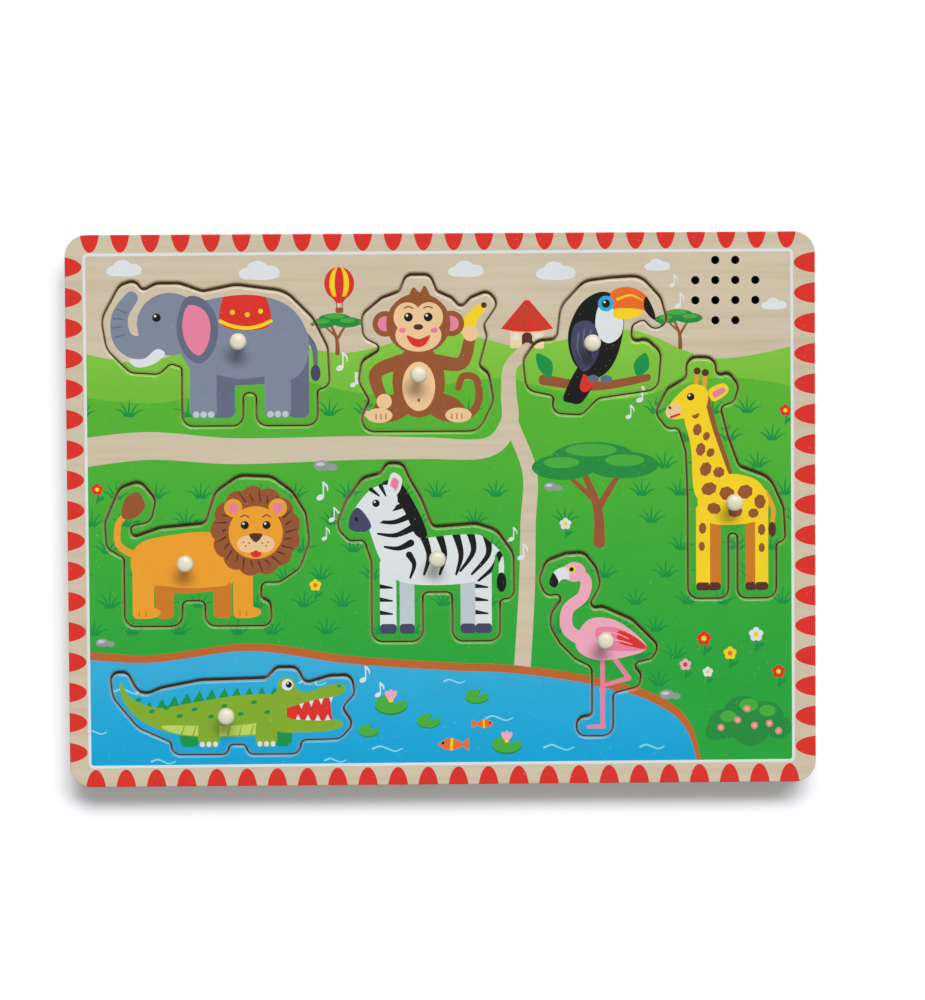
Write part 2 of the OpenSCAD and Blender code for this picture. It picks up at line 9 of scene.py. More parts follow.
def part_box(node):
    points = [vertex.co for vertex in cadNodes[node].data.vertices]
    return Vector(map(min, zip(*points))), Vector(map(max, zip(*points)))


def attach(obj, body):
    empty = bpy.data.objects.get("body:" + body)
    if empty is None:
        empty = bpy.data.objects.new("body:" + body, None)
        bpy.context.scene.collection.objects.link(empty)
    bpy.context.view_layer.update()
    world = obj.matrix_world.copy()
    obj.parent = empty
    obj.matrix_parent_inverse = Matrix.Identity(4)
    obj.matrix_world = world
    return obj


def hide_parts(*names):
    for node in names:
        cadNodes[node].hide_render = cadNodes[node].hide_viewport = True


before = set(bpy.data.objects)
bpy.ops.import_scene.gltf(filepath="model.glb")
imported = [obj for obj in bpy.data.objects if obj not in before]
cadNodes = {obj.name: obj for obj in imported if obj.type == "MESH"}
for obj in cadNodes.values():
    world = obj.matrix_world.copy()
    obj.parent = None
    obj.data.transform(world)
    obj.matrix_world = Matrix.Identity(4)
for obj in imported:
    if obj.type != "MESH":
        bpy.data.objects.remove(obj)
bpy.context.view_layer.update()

mm = 0.001
print("frame loaded:", len(cadNodes), "nodes")


# Camera, floor and light, set up as the photograph was taken: from above, light from the far edge
studio = {
    "cameraAt": (-0.012632, 0.064887, 1.623348),
    "cameraTurn": (-2.1346, -0.8594, -0.35412),
    "lens": 116.53,
    "sunRise": 56,
    "sunTurn": 14,
    "sunWidth": 18,
    "sunFan": {-22: 0.3, 0: 0.4, 22: 0.3},
    "sunStrength": 2.41,
    "roomLight": 0.33,
    "floorSize": 12,
    "floorWhite": 0.9,
    "floorSeen": (1.05, 1.07, 1.11),
}


def addObject(name, data):
    made = bpy.data.objects.new(name, data)
    bpy.context.scene.collection.objects.link(made)
    return made


def meshOf(bm, name):
    mesh = bpy.data.meshes.new(name)
    bm.to_mesh(mesh)
    bm.free()
    return mesh


def setCamera():
    data = bpy.data.cameras.new("camera")
    data.sensor_fit = "HORIZONTAL"
    data.sensor_width = 36
    data.lens = studio["lens"]
    data.clip_end = 50
    camera = addObject("camera", data)
    camera.location = studio["cameraAt"]
    camera.rotation_euler = [math.radians(a) for a in studio["cameraTurn"]]
    bpy.context.scene.camera = camera


# One long softbox, as a fan of suns side by side
def setLight():
    for turn, share in studio["sunFan"].items():
        data = bpy.data.lights.new("softbox", "SUN")
        data.energy = studio["sunStrength"] * share
        data.angle = math.radians(studio["sunWidth"])
        lamp = addObject("softbox", data)
        tilt, swing = studio["sunRise"] - 90, turn - studio["sunTurn"]
        lamp.rotation_euler = (math.radians(tilt), 0, math.radians(swing))


# Node helpers: a socket given as a value is linked, anything else is set
def plug(tree, node, values):
    for key, value in values.items():
        if isinstance(value, bpy.types.NodeSocket):
            tree.links.new(value, node.inputs[key])
        else:
            node.inputs[key].default_value = value
    return node


def addNode(tree, kind, values=None, **settings):
    made = tree.nodes.new("ShaderNode" + kind)
    for key, value in settings.items():
        setattr(made, key, value)
    return plug(tree, made, values or {})


def newFinish(name):
    mat = bpy.data.materials.new(name)
    mat.use_nodes = True
    return mat, mat.node_tree, mat.node_tree.nodes["Principled BSDF"]


def linear(rgb):
    return [c / 255 / 12.92 if c < 11 else ((c / 255 + 0.055) / 1.055) ** 2.4 for c in rgb]


def grey(value):
    return (value, value, value, 1)


def calc(tree, way, *values):
    return addNode(tree, "Math", dict(enumerate(values)), operation=way).outputs[0]


def mixColour(tree, factor, a, b, way="MIX"):
    return addNode(tree, "Mix", {0: factor, 6: a, 7: b}, data_type="RGBA", blend_type=way).outputs[2]


# Stops of a ramp are greys, given as one number, or colours
def ramp(tree, factor, *stops):
    made = addNode(tree, "ValToRGB", {"Fac": factor})
    elements = made.color_ramp.elements
    while len(elements) < len(stops):
        elements.new(0.5)
    for element, (at, shade) in zip(elements, stops):
        element.position = at
        element.color = (*linear(shade), 1) if isinstance(shade, tuple) else grey(shade)
    return made.outputs["Color"]


def wander(tree, factor, low, high, start=0.3, end=0.7):
    return ramp(tree, factor, (start, low), (end, high))


def noise(tree, scale, stretch=(1, 1, 1), detail=3, rough=0.55, turn=0):
    place = addNode(tree, "TexCoord").outputs["Object"]
    turned = (0, 0, math.radians(turn))
    spread = addNode(tree, "Mapping", {"Vector": place, "Scale": stretch, "Rotation": turned}).outputs[0]
    made = addNode(tree, "TexNoise", {"Vector": spread, "Scale": scale, "Detail": detail, "Roughness": rough})
    return made.outputs["Fac"]


def bump(tree, shader, height, strength, depth=0.0002):
    made = addNode(tree, "Bump", {"Height": height, "Strength": strength, "Distance": depth})
    plug(tree, shader, {"Normal": made.outputs[0]})


# Rays that show the background: from the camera, off a shiny face or through glass
def shownRay(tree):
    ray = addNode(tree, "LightPath").outputs
    seen = calc(tree, "MAXIMUM", ray["Is Camera Ray"], ray["Is Glossy Ray"])
    return calc(tree, "MAXIMUM", seen, ray["Is Transmission Ray"])


def setFloor():
    bm = bmesh.new()
    bmesh.ops.create_grid(bm, x_segments=1, y_segments=1, size=studio["floorSize"] / 2)
    floor = addObject("floor", meshOf(bm, "floor"))
    mat = bpy.data.materials.new("paleFloor")
    mat.use_nodes = True
    tree = mat.node_tree
    tree.nodes.clear()
    sheet = addNode(tree, "BsdfDiffuse", {"Color": grey(studio["floorWhite"])}).outputs[0]
    seen = addNode(tree, "BsdfDiffuse", {"Color": (*studio["floorSeen"], 1)}).outputs[0]
    pick = addNode(tree, "MixShader", {0: shownRay(tree), 1: sheet, 2: seen})
    addNode(tree, "OutputMaterial", {0: pick.outputs[0]})
    floor.data.materials.append(mat)


def setRoom():
    world = bpy.data.worlds.new("room")
    world.use_nodes = True
    tree = world.node_tree
    level = addNode(tree, "MapRange", {"Value": shownRay(tree), "To Min": studio["roomLight"], "To Max": 1})
    plug(tree, tree.nodes["Background"], {"Color": grey(1), "Strength": level.outputs[0]})
    bpy.context.scene.world = world


bpy.context.scene.view_settings.view_transform = "Standard"
setCamera()
setLight()
setFloor()
setRoom()
print("camera, light and floor set")


# Finishes
woodTones = {"pale": (212, 199, 174), "mid": (208, 194, 168), "dark": (202, 186, 159)}
varnish = {"coat": 0.38, "coatRough": 0.16, "dull": 0.54, "shiny": 0.42, "inkMottle": 0.955, "inkSpeck": 0.35}


def plyTone(tree, turn=0):
    streaks = noise(tree, 5, (1.6, 42, 42), 5, 0.6, turn)
    tone = ramp(tree, streaks, (0.3, woodTones["dark"]), (0.46, woodTones["mid"]), (0.68, woodTones["pale"]))
    broad = wander(tree, noise(tree, 9, (1, 3, 3), 2, 0.5, turn), 0.965, 1.0)
    tone = mixColour(tree, 1.0, tone, broad, "MULTIPLY")
    fibres = noise(tree, 30, (2.2, 50, 50), 3, 0.6, turn)
    flecks = wander(tree, fibres, 0.92, 1.0, end=0.42)
    return mixColour(tree, 0.7, tone, flecks, "MULTIPLY"), streaks, fibres


# Printed and varnished plywood: the ink is a colour attribute, clear where the wood is bare
def printFinish():
    mat, tree, shader = newFinish("printed_ply")
    wood, streaks, fibres = plyTone(tree)
    ink = addNode(tree, "Attribute", attribute_name="ink").outputs
    mottle = wander(tree, noise(tree, 55, (1, 1.6, 1)), varnish["inkMottle"], 1.0)
    inked = mixColour(tree, 1.0, ink["Color"], mottle, "MULTIPLY")
    specks = wander(tree, noise(tree, 1150, detail=1, rough=0.4), varnish["inkSpeck"], 1.0, 0.2, 0.225)
    cover = calc(tree, "MULTIPLY", ink["Alpha"], specks)
    plug(tree, shader, {
        "Base Color": mixColour(tree, cover, wood, inked),
        "Roughness": wander(tree, noise(tree, 70, (1, 5, 1)), varnish["shiny"], varnish["dull"]),
        "Specular IOR Level": 0,
        "Coat Weight": varnish["coat"],
        "Coat Roughness": varnish["coatRough"],
    })
    bump(tree, shader, calc(tree, "ADD", streaks, fibres), 0.1)
    return mat


# Cut edge of the plywood: layers by height in millimetres, with a stain from the cut
def edgeFinish(name, light, mid, low, layer, wavy, stain=0.62):
    mat, tree, shader = newFinish(name)
    place = addNode(tree, "TexCoord").outputs["Object"]
    z = addNode(tree, "SeparateXYZ", {"Vector": place}).outputs["Z"]
    layers = calc(tree, "MULTIPLY_ADD", z, 1 / (layer * mm), -low / layer)
    waves = calc(tree, "MULTIPLY_ADD", noise(tree, 160, (1, 1, 0.2), 2), wavy, layers)
    pick = calc(tree, "PINGPONG", waves, 1.0)
    tone = ramp(tree, pick, (0.0, light), (0.4, light), (0.5, mid), (1.0, mid))
    stained = wander(tree, noise(tree, 130, (1, 1, 2.5), 4, 0.65), stain, 1.0, end=0.68)
    plug(tree, shader, {"Base Color": mixColour(tree, 1.0, tone, stained, "MULTIPLY"), "Roughness": 0.72})
    bump(tree, shader, noise(tree, 420, (1, 1, 6)), 0.3)
    return mat


def bareFinish(name, turn=0):
    mat, tree, shader = newFinish(name)
    wood, streaks, fibres = plyTone(tree, turn)
    plug(tree, shader, {"Base Color": wood, "Roughness": wander(tree, fibres, 0.62, 0.74)})
    bump(tree, shader, calc(tree, "ADD", streaks, fibres), 0.25, 0.0003)
    return mat


def lacquerFinish():
    mat, tree, shader = newFinish("cream_lacquer")
    plug(tree, shader, {
        "Base Color": wander(tree, noise(tree, 180, (1, 1, 0.4)), (222, 214, 189), (231, 225, 203)),
        "Roughness": wander(tree, noise(tree, 260, detail=2), 0.38, 0.46),
        "Coat Weight": 0.25,
        "Coat Roughness": 0.3,
    })
    bump(tree, shader, noise(tree, 420, (1, 1, 0.5), 2), 0.06)
    return mat


# Small parts: a tone that wanders between two colours, with its own grain
def grainFinish(name, dark, light, rough, grain, bumps, metal=0.0, stretch=(1, 1, 1)):
    mat, tree, shader = newFinish(name)
    plug(tree, shader, {
        "Base Color": wander(tree, noise(tree, grain * 0.18, stretch), dark, light),
        "Roughness": wander(tree, noise(tree, grain * 0.4, stretch, 2), rough * 0.85, rough * 1.15),
        "Metallic": metal,
    })
    bump(tree, shader, noise(tree, grain, stretch, 2), bumps)
    return mat


finish = {
    "print": printFinish(),
    "wellEdge": edgeFinish("well_edge", (232, 206, 162), (214, 180, 132), 16.5, 1.5, 0.5, 0.86),
    "plyEdge": edgeFinish("ply_edge", (214, 196, 166), (176, 146, 108), 16.5, 1.5, 0.35),
    "floorEdge": edgeFinish("floor_edge", (206, 186, 154), (170, 140, 102), 14.5, 1, 0.3),
    "backEdge": edgeFinish("back_edge", (212, 194, 164), (172, 142, 104), 0, 1, 0.35),
    "backPly": bareFinish("back_ply"),
    "railLong": bareFinish("rail_wood_long"),
    "railSide": bareFinish("rail_wood_side", 90),
    "lacquer": lacquerFinish(),
    "steel": grainFinish("zinc_steel", (150, 152, 156), (186, 188, 192), 0.34, 1500, 0.1, 1.0),
    "nickel": grainFinish("nickel", (176, 174, 168), (206, 204, 198), 0.24, 1300, 0.06, 1.0, (1, 4, 1)),
    "plastic": grainFinish("black_plastic", (24, 24, 25), (34, 34, 36), 0.5, 2600, 0.35),
    "sleeveDark": grainFinish("cell_sleeve", (26, 84, 58), (34, 98, 70), 0.26, 700, 0.04),
    "sleeveBand": grainFinish("cell_band", (196, 168, 96), (214, 188, 116), 0.28, 700, 0.04, 0.6),
    "foam": grainFinish("foam_ring", (22, 22, 22), (40, 40, 40), 0.9, 1800, 0.8),
    "cone": grainFinish("paper_cone", (44, 42, 40), (66, 64, 60), 0.85, 1600, 0.5),
    "ferrite": grainFinish("ferrite", (34, 34, 36), (52, 52, 54), 0.6, 1400, 0.4),
    "mask": grainFinish("solder_mask", (16, 78, 40), (24, 96, 52), 0.35, 900, 0.1),
    "resin": grainFinish("black_resin", (12, 12, 12), (24, 24, 24), 0.2, 500, 0.1),
    "sleeveBlue": grainFinish("capacitor_sleeve", (24, 30, 78), (34, 42, 98), 0.3, 800, 0.05),
    "sensor": grainFinish("sensor_resin", (176, 92, 52), (206, 122, 74), 0.18, 500, 0.05),
    "cable": grainFinish("flat_cable", (140, 24, 26), (168, 34, 34), 0.55, 700, 0.3),
}
print("finishes:", len(finish))


# Drawing helpers, in millimetres: outlines first
def spoke(x, y, r, a, squeeze=1):
    return x + r * math.cos(a), y + r * squeeze * math.sin(a)


def spun(pts, turn):
    c, s = math.cos(math.radians(turn)), math.sin(math.radians(turn))
    return [(x * c - y * s, x * s + y * c) for x, y in pts]


def oval(cx, cy, rx, ry=None, turn=0, steps=24):
    ry = rx if ry is None else ry
    around = [2 * math.pi * i / steps for i in range(steps)]
    flat = [(rx * math.cos(a), ry * math.sin(a)) for a in around]
    return [(cx + x, cy + y) for x, y in spun(flat, turn)]


def between(p0, p1, p2, p3, t):
    return tuple(
        0.5 * (2 * b + (c - a) * t + (2 * a - 5 * b + 4 * c - d) * t * t + (3 * b - a - 3 * c + d) * t ** 3)
        for a, b, c, d in zip(p0, p1, p2, p3))


def curve(pts, steps=6):
    n = len(pts)
    return [between(pts[i - 1], pts[i], pts[(i + 1) % n], pts[(i + 2) % n], k / steps)
            for i in range(n) for k in range(steps)]


def line(pts, steps=6):
    ends = [pts[0], *pts, pts[-1]]
    run = [between(*ends[i:i + 4], k / steps) for i in range(len(pts) - 1) for k in range(steps)]
    return run + [pts[-1]]


def halfRound(centre, start, r, steps=6):
    a = math.atan2(start[1] - centre[1], start[0] - centre[0])
    return [spoke(*centre, r, a - math.pi * k / steps) for k in range(1, steps)]


def strip(pts, wide, tip=None, steps=6):
    tip = wide if tip is None else tip
    mid = line(pts, steps) if len(pts) > 2 else list(pts)
    left, right = [], []
    for i, (x, y) in enumerate(mid):
        a, b = mid[max(i - 1, 0)], mid[min(i + 1, len(mid) - 1)]
        dx, dy = b[0] - a[0], b[1] - a[1]
        reach = (wide + (tip - wide) * i / (len(mid) - 1)) / 2 / (math.hypot(dx, dy) or 1)
        left.append((x - dy * reach, y + dx * reach))
        right.append((x + dy * reach, y - dx * reach))
    head, tail = halfRound(mid[-1], left[-1], tip / 2), halfRound(mid[0], right[0], wide / 2)
    return left + head + right[::-1] + tail


def slab(x0, y0, x1, y1, r=3, steps=4):
    corners = ((x1 - r, y1 - r, 0), (x0 + r, y1 - r, 90), (x0 + r, y0 + r, 180), (x1 - r, y0 + r, 270))
    return [spoke(x, y, r, math.radians(a + 90 * k / steps)) for x, y, a in corners for k in range(steps + 1)]


# Shapes: ink, outline and rule; the rules "body" and "hide" keep a mark inside the figure's own inks
def form(ink, *pts, steps=6, rule=""):
    return [(ink, curve(pts, steps), rule)]


def facet(ink, *pts):
    return [(ink, list(pts), "")]


def band(ink, pts, wide, tip=None, steps=6, rule=""):
    return [(ink, strip(pts, wide, tip, steps), rule)]


def ovals(ink, *sizes, rule=""):
    return [(ink, oval(*size), rule) for size in sizes]


def slabs(ink, *boxes):
    return [(ink, slab(*box), "") for box in boxes]


def dots(ink, r, steps, *places):
    return [(ink, oval(x, y, r, r, 0, steps), "") for x, y in places]


def eye(x, y, r):
    return dots("black", r, 18, (x, y)) + dots("white", 0.3 * r, 10, (x - 0.32 * r, y + 0.36 * r))


# The eight figures, drawn about their feet
def drawElephant():
    s = band("greyDark", [(50, 52), (57, 43), (58, 31)], 4, 2.5) + ovals("slate", (58, 27, 3, 5))
    s += slabs("greyDark", (-5, 0, 9, 40, 4), (41, 0, 54, 44, 4))
    s += form("grey", (-20, 66), (0, 73), (24, 74), (44, 66), (54, 48), (51, 30), (40, 22), (16, 20),
              (-6, 21), (-18, 30), (-26, 48))
    s += form("greyDark", (-4, 26), (12, 23.6), (30, 25), (30, 19), (12, 18), (-4, 19), rule="hide")
    s += form("red", (3, 74), (14, 76), (27, 74.6), (31, 57), (17, 53), (1, 57), rule="hide")
    s += band("yellow", [(0.6, 58.6), (8, 55.6), (17, 54.4), (25, 55.8), (31.2, 58.6)], 2.2, rule="hide")
    s += dots("yellow", 1.5, 14, (8, 64), (17, 62.5), (25, 64.5))
    s += slabs("grey", (-18, 0, -2, 44, 4), (27, 0, 43, 44, 4))
    s += band("grey", [(-36, 48), (-50, 43), (-59, 49), (-60, 62), (-53, 73)], 16, 8)
    s += ovals("grey", (-30, 57, 20, 19))
    s += form("white", (-38, 42), (-46, 36), (-55, 36), (-50, 31), (-40, 33), (-33, 39))
    s += form("greyDark", (-20, 73), (-8, 71), (-1, 58), (-3, 42), (-12, 33), (-22, 40), (-26, 56))
    s += form("rose", (-19, 68), (-10, 66), (-5.5, 57), (-7, 45), (-12.5, 38), (-19.5, 44), (-22.5, 56))
    for x, y, rise in ((-63, 49, 1.8), (-64.2, 55, 0.8), (-64, 60.6, -0.4), (-61.6, 66, -2)):
        s += band("greyDark", [(x, y), (x + 5.6, y + rise)], 1.0, 0.6)
    toes = [(x, 2.2) for x in (-14.5, -10, -5.5, 30.5, 35, 39.5)]
    return s + eye(-38, 61, 2.6) + dots("greyPale", 2, 12, *toes)


def drawMonkey():
    s = band("brown", [(12, 8), (27, 4), (36, 13), (35, 27), (27, 29), (24, 22)], 5, 4)
    s += ovals("brown", (-16, 10, 13, 8, 20), (16, 10, 13, 8, -20))
    s += ovals("tan", (-24, 5.5, 8, 4.5), (24, 5.5, 8, 4.5))
    s += band("brown", [(-11, 38), (-26, 31), (-22, 15)], 9, 7) + ovals("tan", (-21, 14, 4.6))
    s += ovals("brown", (0, 26, 16, 22)) + ovals("tan", (0, 23, 10, 15))
    s += form("yellow", (25, 56), (29, 66), (38, 73), (41, 70), (36, 63), (33, 55))
    s += dots("brownDark", 1.8, 12, (39.8, 72))
    s += band("brown", [(11, 38), (26, 37), (31, 51)], 9, 7) + ovals("tan", (31.5, 55, 4.8))
    for k in (-1, 1):
        s += ovals("brown", (20 * k, 61, 7.8)) + ovals("rose", (20 * k, 61, 4.6))
    s += form("brown", (-5, 76), (-3, 83), (1, 80), (4, 84), (7, 76))
    s += ovals("brown", (0, 61, 19.5, 18.5, 0, 32))
    s += ovals("tan", (-6.5, 65, 8.5, 9), (6.5, 65, 8.5, 9), (0, 54, 14, 10))
    s += eye(-6, 65, 2.7) + eye(6, 65, 2.7)
    for k in (-1, 1):
        s += band("brown", [(8.4 * k, 70.6), (5.8 * k, 71.4), (3.4 * k, 70.4)], 0.9, 0.9, 3)
        for x in (20, 23, 26):
            s += band("brown", [(x * k, 3.4), (x * k, 6.4)], 0.7, 0.5)
        s += ovals("rose", (9.6 * k, 57, 2.2, 1.6, 0, 14))
    s += ovals("brown", (0, 14.6, 0.8, 1.1, 0, 10)) + ovals("brownDark", (0, 59, 3, 1.8, 0, 14))
    return s + form("red", (-7, 54), (0, 51.6), (7, 54), (4.4, 48.6), (0, 46.8), (-4.4, 48.6))


def drawToucan():
    s = band("brown", [(-31, 14), (0, 10), (32, 15)], 6.5, 4.5)
    s += form("leaf", (-27, 15), (-34, 21), (-35, 30), (-26, 25))
    s += form("leaf", (26, 16), (24, 24), (31, 30), (33, 21))
    s += form("black", (-8, 24), (-19, 4), (-15, 0), (-7, 1), (3, 20))
    s += form("red", (-5, 20), (-9, 9), (-4, 7), (4, 18))
    s += form("black", (-2, 15), (-13, 25), (-16, 42), (-9, 59), (3, 67), (13, 64), (18, 52), (15, 32),
              (8, 19))
    s += form("white", (9, 62), (17, 53), (16, 41), (8, 36), (1, 43), (2, 57))
    s += form("orange", (10, 66.5), (21, 70), (32, 64), (37, 50), (29, 56), (13, 55))
    s += form("yellow", (12, 56.5), (22, 57), (30, 55.5), (23, 51), (13, 51))
    s += form("black", (31.5, 64.3), (36, 56), (37, 50), (33, 52.6), (30, 58))
    s += ovals("water", (7, 60, 4.8)) + eye(7, 60, 2.5)
    s += form("slate", (-12, 47), (-14, 32), (-7, 19), (1, 26), (3, 38), (-2, 49))
    for x, y in ((-9.6, 42), (-6, 44.6), (-2.2, 44)):
        s += band("greyDark", [(x, y), (x - 0.8, y - 9), (x + 2, y - 17)], 1.0, 0.5)
    s += band("yellow", [(14, 62.6), (22, 65), (29, 62)], 1.6, 0.8)
    return s + ovals("greyDark", (-1, 14.5, 3.6, 2.3), (7, 14.3, 3.6, 2.3))


def drawLion():
    s = band("amber", [(-42, 38), (-53, 45), (-53, 58), (-47, 64)], 4.5, 3.5)
    s += form("brown", (-51, 62), (-49, 73), (-41, 77), (-37, 68), (-44, 61))
    s += slabs("amberDark", (-31, 0, -20, 28), (4, 0, 15, 30))
    s += form("amber", (-40, 46), (-20, 51), (4, 52), (16, 42), (16, 22), (-2, 16), (-24, 16),
              (-40, 21), (-46, 34))
    s += form("amberDark", (-32, 20), (-12, 18.4), (10, 19.6), (14, 22), (12, 12), (-30, 12), rule="hide")
    s += slabs("amber", (-45, 0, -32, 34), (16, 0, 28, 40))
    s += ovals("amber", (-36.5, 3.6, 8.5, 3.6), (24.5, 3.6, 8.5, 3.6))
    mane = [math.pi * i / 13 + 0.2 for i in range(26)]
    s += ovals("brown", *[(*spoke(30, 53, 19.5, a), 8) for a in mane[::2]], (30, 53, 20, 20, 0, 32))
    for i, a in enumerate(mane):
        tip = spoke(30, 53, 25 if i % 2 else 22.4, a + 0.08)
        s += band("brownDark", [spoke(30, 53, 18.6, a), tip], 1.1, 0.5)
    for k in (-1, 1):
        s += ovals("amber", (30 + 13.5 * k, 67, 5.6)) + ovals("rose", (30 + 13.5 * k, 67, 3.2))
    s += ovals("amber", (30, 52, 16.5, 16, 0, 32)) + ovals("red", (30, 40.6, 3.6, 3.8))
    s += ovals("tan", (25.2, 45, 6.6, 5.2), (34.8, 45, 6.6, 5.2))
    s += form("brownDark", (26, 51), (34, 51), (30, 46), steps=5)
    for k in (-1, 1):
        s += dots("brown", 0.55, 8, *[(30 + x * k, y) for x, y in ((4, 45.6), (6.2, 43.8), (7.4, 46.2))])
        s += band("brown", [(30 + 9 * k, 61.6), (30 + 6.4 * k, 62.6), (30 + 4.2 * k, 61.4)], 0.9, 0.9, 3)
    for x in (-41, -37, 20, 24):
        s += band("amberDark", [(x, 1.6), (x, 4.6)], 0.8, 0.6)
    return s + eye(23.4, 56.5, 2.5) + eye(36.6, 56.5, 2.5)


def drawZebra():
    s = band("white", [(36, 55), (44, 47), (45, 36)], 4, 3) + ovals("black", (45, 31, 3, 6))
    for x in (-17, 20):
        s += slabs("greyPale", (x, 0, x + 9, 42)) + slabs("slate", (x, 0, x + 9, 6, 2))
    s += form("white", (-22, 60), (-6, 58), (16, 60), (34, 59), (41, 47), (36, 34), (18, 30), (-8, 30),
              (-22, 35), (-28, 47))
    s += form("white", (-24, 40), (-36, 66), (-39, 80), (-25, 88), (-14, 78), (-5, 58))
    s += slabs("white", (-29, 0, -19, 46), (29, 0, 39, 50))
    s += band("black", [(-11, 48), (-8, 42), (-10.5, 34)], 4.2, 1.2, rule="body")
    backBands = [[(x, top), (x + 3.5, 48), (x + 0.5, 36)] for x, top in ((-2.5, 60), (7, 61), (17, 62))]
    for run in backBands + [[(26, 62), (28, 50), (20, 38)], [(36, 60), (37, 48), (27, 36)]]:
        s += band("black", run, 5, 1.4, rule="body")
    s += band("black", [(44, 48), (40, 40), (31, 32)], 4, 1.4, rule="body")
    for y, x, reach in ((52, -24, 14), (60, -28, 19), (68, -31, 24), (76, -33, 26)):
        neckBand = [(x + reach, y + 0.23 * reach), (x + 0.46 * reach, y), (x - 2, y + 1)]
        s += band("black", neckBand, 4.4, 1.2, rule="body")
    for x in (-29, 29):
        for y in (12, 20, 28):
            s += band("black", [(x - 1, y + 1), (x + 7.5, y)], 3, 1, rule="body")
    s += slabs("slate", (-29, 0, -19, 6, 2), (29, 0, 39, 6, 2))
    s += form("black", (-27, 92), (-17, 93), (-6, 76), (0, 60), (-7, 60), (-14, 75), (-23, 87))
    s += form("white", (-24, 88), (-21, 98), (-15, 94), (-18, 85))
    s += form("rose", (-22.4, 89), (-20.4, 95), (-17, 92.5), (-19, 87))
    s += form("white", (-22, 90), (-34, 88), (-46, 73), (-47, 65), (-39, 62), (-27, 69), (-18, 80))
    s += form("slate", (-42.5, 77), (-47, 71), (-47, 64), (-39.5, 62), (-34, 65), (-37, 72))
    s += ovals("black", (-43, 70, 1, 1.5, 30, 12)) + band("black", [(-34, 88), (-29, 84)], 2.6, 1)
    return s + band("black", [(-28, 90), (-25, 84)], 2.6, 1) + eye(-31, 79.5, 2.3)


giraffePatches = [
    (-8, 62, 5, 4, 20), (3, 59, 5, 4.4, -20), (14, 60, 5, 4.4, 25), (23, 54, 3.6, 4.6, 0),
    (8, 48, 4.6, 3.6, 10), (-5, 50, 4.4, 3.6, -15), (19, 47, 3.4, 3, 10), (-10, 74, 4.6, 3.6, 70),
    (-2, 72, 3.6, 3.4, 20),
    (-13, 86, 4.2, 3, 80), (-7, 84, 3, 2.4, 60), (-15, 98, 3.8, 2.8, 80), (-9.5, 94, 2.8, 2.2, 70),
    (-16, 107, 2.6, 2.2, 60), (-12, 38, 2.4, 3.6, 0), (-12.5, 27, 2, 3, 0), (24, 37, 2.4, 3.6, 0),
    (24, 26, 2, 3, 0)]


def drawGiraffe():
    s = band("amber", [(26, 60), (31, 50), (30.5, 41)], 3, 2.5) + ovals("brownDark", (30.4, 37, 2.4, 4.6))
    for x0, x1 in ((-9, -1), (14, 21)):
        s += slabs("amberDark", (x0, 0, x1, 48, 2.5)) + slabs("brownDark", (x0, 0, x1, 5, 2))
    s += form("yellow", (-10, 68), (6, 71), (21, 67), (28, 56), (25, 44), (8, 40), (-9, 42), (-15, 54))
    s += form("yellow", (-15, 56), (-19, 88), (-23, 110), (-10, 116), (-5, 96), (6, 68))
    s += slabs("yellow", (-16, 0, -7.5, 52, 2.5), (20, 0, 28, 54, 2.5))
    s += slabs("brownDark", (-16, 0, -7.5, 5, 2), (20, 0, 28, 5, 2))
    s += ovals("brown", *[(*patch, 7) for patch in giraffePatches], rule="body")
    s += band("brown", [(-9, 117), (-4, 98), (5, 72)], 3.4, 2.6)
    s += form("yellow", (-8, 122), (1, 126), (4, 121), (-5, 115))
    s += form("rose", (-5.6, 120.5), (0.4, 123.6), (2, 121), (-4, 117.2))
    for x, y in ((-15, 133), (-10, 132)):
        s += band("amber", [(x - 1, y - 11), (x, y)], 2.6) + dots("brownDark", 2.2, 14, (x, y + 0.6))
    s += form("yellow", (-9, 122), (-18, 125.5), (-28, 118), (-33, 110), (-30, 104.5), (-20, 106), (-10, 111))
    s += ovals("tan", (-29.4, 109.4, 5.2, 4.4, 40)) + ovals("brownDark", (-31.6, 111.4, 0.8, 1.1, 40, 10))
    return s + band("red", [(-31, 105.6), (-26, 107.4)], 1.4) + eye(-19, 118, 2.3)


def drawFlamingo():
    s = band("rose", [(9, 46), (20, 31)], 2.8) + band("rose", [(20, 31), (6, 27)], 2.8, 2.4)
    s += band("rose", [(4, 46), (4, 24), (4, 2)], 2.8) + band("rose", [(4.5, 1.6), (-5, 1.4)], 2.8, 2)
    s += form("pink", (-12, 56), (-4, 67), (10, 67), (23, 59), (31, 49), (18, 44), (2, 42), (-10, 47))
    s += form("rose", (0, 61), (12, 62), (24, 56), (31, 49), (15, 47.5), (3, 50))
    s += form("red", (14, 60), (24, 56), (31, 49), (22, 50), (14, 53))
    s += band("pink", [(4, 59), (12, 58.4), (20, 55)], 1.1, 0.5)
    s += band("pink", [(5, 55), (14, 54), (22, 51.6)], 1.1, 0.5)
    s += ovals("rose", (4, 24, 2.1, 1.7, 0, 14), (19.6, 31, 2, 1.7, 0, 14))
    s += band("pink", [(-7, 54), (-17, 61), (-17, 73), (-8, 81), (-6, 91), (-13, 96)], 8, 6.5)
    s += ovals("pink", (-13, 96, 7, 6))
    s += form("white", (-18, 99), (-25, 96.5), (-28, 89), (-24.5, 87.4), (-20.5, 91.4), (-16, 92))
    s += form("black", (-26, 95.4), (-28.2, 89), (-24.8, 86.6), (-22.6, 89.6), (-23.6, 92.6))
    return s + dots("yellow", 2.3, 16, (-14.4, 97.6)) + dots("black", 1.4, 12, (-14.6, 97.6))


